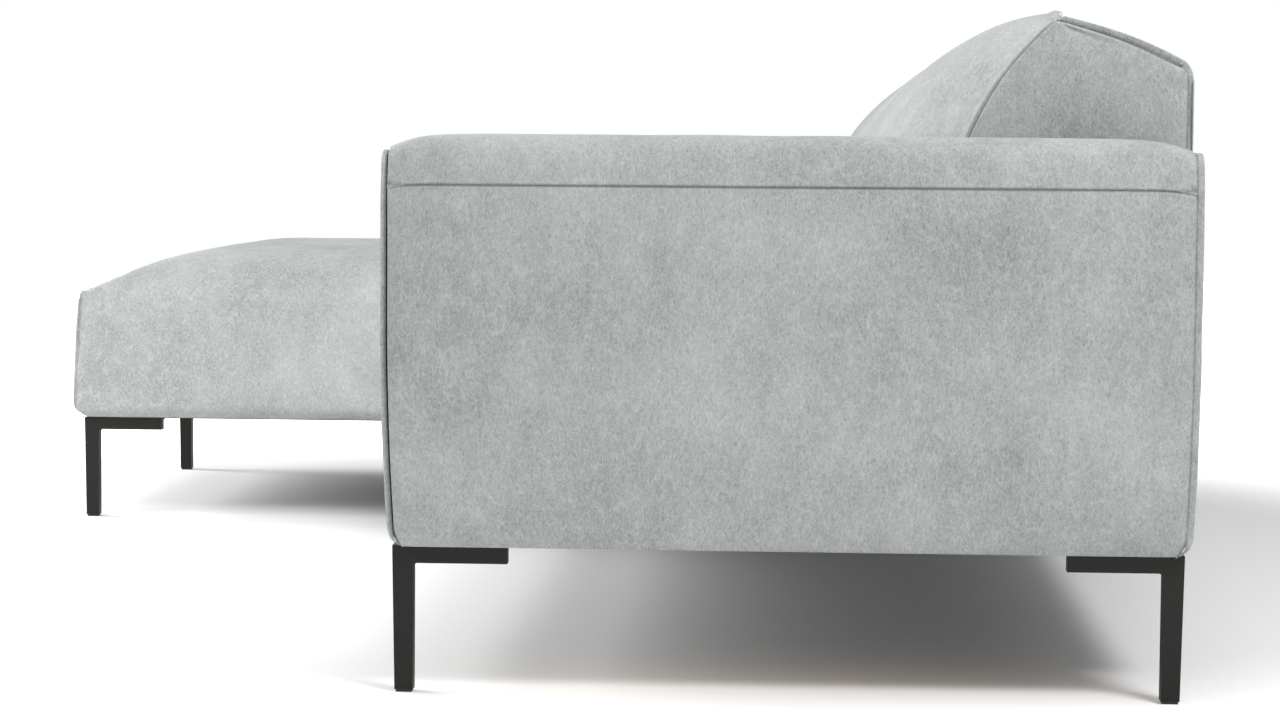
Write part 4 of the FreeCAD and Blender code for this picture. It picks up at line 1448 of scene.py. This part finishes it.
    def trim(self, workshop: Workshop) -> None:
        """Sew the flanges of the sloping top panel and of the rear edges.

        Args:
            workshop: Source of the finishes.
        """
        slope = np.linspace(0.0, 1.0, 110)
        fall = np.linspace(1.0, 0.03, 120)[1:]
        along = np.concatenate([slope, np.ones(len(fall))])
        up = np.concatenate([np.ones(len(slope)), fall])
        for label, end, way, heels in (("right", 1.0, 1.0, (0.05, 0.45)), ("left", 0.0, -1.0, (0.45, 0.05))):
            path = self.edge(end, along, up)
            step = np.gradient(path, axis=0)
            out = np.stack([np.zeros(len(path)), -step[:, 2], step[:, 1]], axis=1)
            out /= np.linalg.norm(out, axis=1)[:, None]
            outside = np.array([way, 0.0, 0.0])
            on_top = smooth_step(out[:, 2], 0.2, 0.9)[:, None]
            taper = 0.5 + 0.5 * smooth_step(np.arange(len(path)), 0, 4)
            taper *= self.rear_depth - (self.rear_depth - 1) * on_top[:, 0]
            path = path - outside * self.flange_root * (0.25 + 0.75 * on_top)
            path = path + out * (self.flange_rise * on_top - self.flange_sink)
            self.add_fin(label, path, out + 0.25 * outside, taper, workshop,
                         Flange(depth=self.flange_depth, seed=self.seed + int(end) + 9, heels=heels))
        self.add_stitches(np.linspace(0.006, 0.994, 90), 0.03, 1.0)


# Flat cloths
@dataclass
class Cloth:
    """A flat cut of cloth that stands for a thin CAD sheet."""

    node: str
    slot: Slot
    held: str
    rests_on: tuple[str, ...]
    pitch: float = 0.03
    sag: float = 0.0
    wall: float = 0.0012
    margins: tuple[float, float] = (0.0, 0.0)
    uneven_length: float = 0.25
    least_room: float = 0.0002
    seed: int = 40

    def build(self, workshop: Workshop) -> Object:
        """Make the cloth with its wall and its soft unevenness.

        Args:
            workshop: Source of the finishes.

        Returns:
            The cloth.
        """
        low, high = (np.array(corner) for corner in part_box(self.node))
        size = high - low
        thin = int(np.argmin(size))
        one, two = [axis for axis in range(3) if axis != thin]
        low[one] += self.margins[0]
        size[one] -= 2 * self.margins[0]
        size[two] -= self.margins[1]
        rows = np.linspace(0, 1, max(3, round(size[one] / self.pitch) + 1))
        lines = np.linspace(0, 1, max(3, round(size[two] / self.pitch) + 1))
        a, b = np.meshgrid(rows, lines, indexing="ij")
        points = np.zeros((a.size, 3))
        points[:, one] = low[one] + a.ravel() * size[one]
        points[:, two] = low[two] + b.ravel() * size[two]
        middle = 16 * a.ravel() * (1 - a.ravel()) * b.ravel() * (1 - b.ravel())
        room = max(size[thin] - self.wall, self.least_room)
        uneven = 0.5 + 0.5 * np.clip(ripple(points, self.uneven_length, self.seed), -1, 1)
        points[:, thin] = low[thin] + self.wall / 2 + room * uneven * np.clip(2 * middle, 0, 1)
        points[:, thin] -= self.sag * np.sqrt(np.clip(middle, 0, 1))
        faces = grid_faces(np.arange(a.size).reshape(a.shape))
        piece = new_piece(self.node + "_cloth", points, faces, workshop.finish(self.slot))
        thicken(piece, self.wall)
        settle(piece, (self.node,))
        return piece


@dataclass
class UnderStaples:
    """Staples that hold a dust cloth to the rails."""

    node: str
    margin: float = 0.008
    drop: float = 0.0002

    def build(self, workshop: Workshop) -> Object:
        """Set the staples round the cloth's edge.

        Args:
            workshop: Source of the finishes.

        Returns:
            One mesh with every staple.
        """
        low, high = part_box(self.node)
        x0, x1 = low.x + self.margin, high.x - self.margin
        y0, y1 = low.y + self.margin, high.y - self.margin
        z = low.z - self.drop
        corners = [(x0, y0), (x1, y0), (x1, y1), (x0, y1), (x0, y0)]
        sides = [np.array([(*a, z), (*b, z)]) for a, b in zip(corners, corners[1:])]
        row = SewnRow(self.node + "_staples", RowShape.STAPLE, spacing=0.045, length=0.011,
                      thickness=0.0009, material=workshop.finish(Slot.ZINC))
        return row.sew(sides)


@dataclass
class Straps:
    """Elastic straps across a back frame, ribbed across, with bound edges that stand out a little."""

    node: str
    count: int = 4
    width: float = 0.050
    wall: float = 0.0011
    pitch: float = 0.020
    rib: float = 0.004
    rib_height: float = 0.0002

    def build(self, workshop: Workshop) -> None:
        """Make each strap as a cloth of its own.

        Args:
            workshop: Source of the finishes.
        """
        low, high = (np.array(corner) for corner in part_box(self.node))
        lowest, highest = low[2], high[2] - self.width
        length = high[0] - low[0]
        for index in range(self.count):
            base = lowest + (highest - lowest) * index / (self.count - 1)
            rows = np.linspace(0, 1, round(length / self.pitch))
            lines = np.array([0.0, 0.04, 0.1, 0.35, 0.65, 0.9, 0.96, 1.0])
            a, b = np.meshgrid(rows, lines, indexing="ij")
            bound = np.abs(2 * b - 1) > 0.85
            wave = self.rib_height * np.sin(a * length / self.rib) + self.rib_height * bound
            points = np.stack([low[0] + a * length, (low[1] + high[1]) / 2 - wave, base + b * self.width],
                              axis=-1).reshape(-1, 3)
            faces = grid_faces(np.arange(a.size).reshape(a.shape))
            piece = new_piece(f"{self.node}_{index + 1}", points, faces, workshop.finish(Slot.WEBBING))
            thicken(piece, self.wall)
            settle(piece, (self.node,))


class HardParts:
    """CAD nodes that keep their shape and get a procedural finish."""

    SLOTS = (
        ("_leg", Slot.LEG), ("leg_glides", Slot.GLIDE), ("leg_screws", Slot.ZINC), ("link_screws", Slot.ZINC),
        ("arm_bolts", Slot.ZINC), ("link_plates", Slot.ZINC), ("spring_clips", Slot.ZINC),
        ("_springs", Slot.SPRING), ("deck_boards", Slot.FIBREBOARD), ("_arm_boards", Slot.FIBREBOARD),
        ("_arm_frame", Slot.PLYWOOD), ("_rail", Slot.BEECH), ("_posts", Slot.BEECH),
        ("corner_blocks", Slot.BEECH),
    )

    def dress(self, nodes: dict[str, Object], workshop: Workshop) -> None:
        """Give each shown CAD node its material.

        Args:
            nodes: CAD nodes by name.
            workshop: Source of the finishes.
        """
        for name, node in sorted(nodes.items()):
            if node.hide_render:
                continue
            slot = next(slot for part, slot in self.SLOTS if part in name)
            node.data.materials.clear()
            node.data.materials.append(workshop.finish(slot))
            LOG.info("%s: %s", name, slot.value)


# Studio
@dataclass(frozen=True)
class Softbox:
    """A soft square lamp."""

    name: str
    place: tuple[float, float, float]
    watts: float
    side: float

    def hang(self, aim: tuple[float, float, float]) -> None:
        """Hang the lamp and turn it.

        Args:
            aim: Place that it points at.
        """
        light = bpy.data.lights.new(self.name, "AREA")
        light.energy = self.watts
        light.size = self.side
        lamp = bpy.data.objects.new(self.name, light)
        way = (Vector(aim) - Vector(self.place)).to_track_quat("-Z", "Y").to_matrix().to_4x4()
        lamp.matrix_world = Matrix.Translation(self.place) @ way
        bpy.context.scene.collection.objects.link(lamp)


@dataclass
class Studio:
    """Pale floor, soft light and the photograph's camera."""

    camera_place: tuple[float, float, float] = (4.8381, 0.3756, 0.6014)
    yaw: float = 0.0489
    pitch: float = 0.0625
    roll: float = 0.0082
    lens: float = 87.74
    floor_size: float = 24.0
    ambient: float = 0.44
    aim: tuple[float, float, float] = (0.2, 0.0, 0.35)
    chaise_aim: tuple[float, float, float] = (-0.5, -0.4, 0.35)
    lamps: tuple[Softbox, ...] = (
        Softbox("front_softbox", (-1.5, -3.8, 2.0), 140.0, 1.8),
        Softbox("camera_side_softbox", (3.0, 1.8, 3.0), 80.0, 1.0),
        Softbox("top_softbox", (1.9, 0.4, 3.2), 8.0, 0.8),
    )
    chaise_lamps: tuple[Softbox, ...] = (
        Softbox("chaise_high_softbox", (0.9, -1.6, 2.6), 24.0, 1.0),
        Softbox("chaise_low_softbox", (1.0, -2.2, 1.1), 20.0, 1.0),
    )

    def floor(self) -> None:
        """Lay the floor, which isn't part of the object."""
        half = self.floor_size / 2
        points = np.array([(-half, -half, 0), (half, -half, 0), (half, half, 0), (-half, half, 0)])
        paper = StudioPaper("studio_paper", "FAFAFA", "FAFAFA", 0.9)
        floor = new_piece("studio_floor", points, [(0, 1, 2, 3)], paper.material())

    def world(self) -> None:
        """Light the scene from all round, and show white behind it."""
        world = bpy.data.worlds.new("studio_world")
        world.use_nodes = True
        bpy.context.scene.world = world
        tree = world.node_tree
        strength = spread(tree, seen_directly(tree), (0.0, 1.0), (self.ambient, 1.0), "LINEAR")
        background = tree.nodes["Background"]
        background.inputs["Color"].default_value = WHITE
        tree.links.new(strength, background.inputs["Strength"])

    def camera(self) -> None:
        """Set the camera where the photograph was taken from."""
        forward = Vector((-math.cos(self.yaw) * math.cos(self.pitch),
                          -math.sin(self.yaw) * math.cos(self.pitch), -math.sin(self.pitch)))
        level = forward.cross(Vector((0, 0, 1))).normalized()
        above = level.cross(forward)
        right = math.cos(self.roll) * level + math.sin(self.roll) * above
        up = -math.sin(self.roll) * level + math.cos(self.roll) * above
        data = bpy.data.cameras.new("photo_camera")
        data.lens = self.lens
        data.sensor_width = 36.0
        data.clip_end = 60.0
        camera = bpy.data.objects.new("photo_camera", data)
        turn = Matrix((right, up, -forward)).transposed().to_4x4()
        camera.matrix_world = Matrix.Translation(self.camera_place) @ turn
        bpy.context.scene.collection.objects.link(camera)
        bpy.context.scene.camera = camera

    def build(self) -> None:
        """Set up the whole studio."""
        bpy.context.scene.view_settings.view_transform = "Standard"
        self.floor()
        self.world()
        for lamp in self.lamps:
            lamp.hang(self.aim)
        for lamp in self.chaise_lamps:
            lamp.hang(self.chaise_aim)
        self.camera()


def main() -> None:
    """Dress the sofa and set up its studio."""
    logging.basicConfig(level=logging.INFO, format="%(name)s %(message)s", stream=sys.stdout)
    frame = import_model()
    workshop = Workshop()
    Studio().build()

    chaise_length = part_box("sofa_rear_panel")[1][1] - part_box("chaise_seat_cover")[0][1]
    sofa_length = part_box("right_arm_cover")[1][1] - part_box("right_arm_cover")[0][1]
    cushions = [
        Arm("right_arm", ("right_arm_cover", "right_arm_foam"), seed=11),
        Arm("left_arm", ("left_arm_cover", "left_arm_foam"), seed=12),
        Seat("right_seat", ("right_seat_cover", "right_seat_foam"), seed=13),
        Seat("middle_seat", ("middle_seat_cover", "middle_seat_foam"), seed=14),
        Seat("chaise_seat", ("chaise_seat_cover", "chaise_seat_foam"), seed=15, roll=0.075,
             ease=0.006, front_drop=0.081, air=Inflation(slack=0.006, cap=0.0080),
             free_side=chaise_length - sofa_length - 0.02),
        Back("right_back", ("right_back_cover", "right_back_foam"), seed=16),
        Back("middle_back", ("middle_back_cover", "middle_back_foam"), seed=17),
        Back("chaise_back", ("chaise_back_cover", "chaise_back_foam"), seed=18),
    ]
    for cushion in cushions:
        cushion.build(workshop)

    for element in ("sofa", "chaise"):
        rails = (element + "_front_rail", element + "_rear_rail", element + "_side_rails")
        Cloth(element + "_rear_panel", Slot.COVER, "stretched", (element + "_back_rails",),
              wall=0.0014, margins=(0.0025, 0.014)).build(workshop)
        Cloth(element + "_dust_cloth", Slot.DUST_CLOTH, "stretched", rails, sag=0.004,
              wall=0.0006).build(workshop)
        Cloth(element + "_spring_felt", Slot.FELT, "laid", (element + "_springs",),
              wall=0.0036).build(workshop)
        UnderStaples(element + "_dust_cloth").build(workshop)
        Straps(element + "_back_webbing").build(workshop)
    HardParts().dress(frame["nodes"], workshop)


if __name__ == "__main__":
    main()
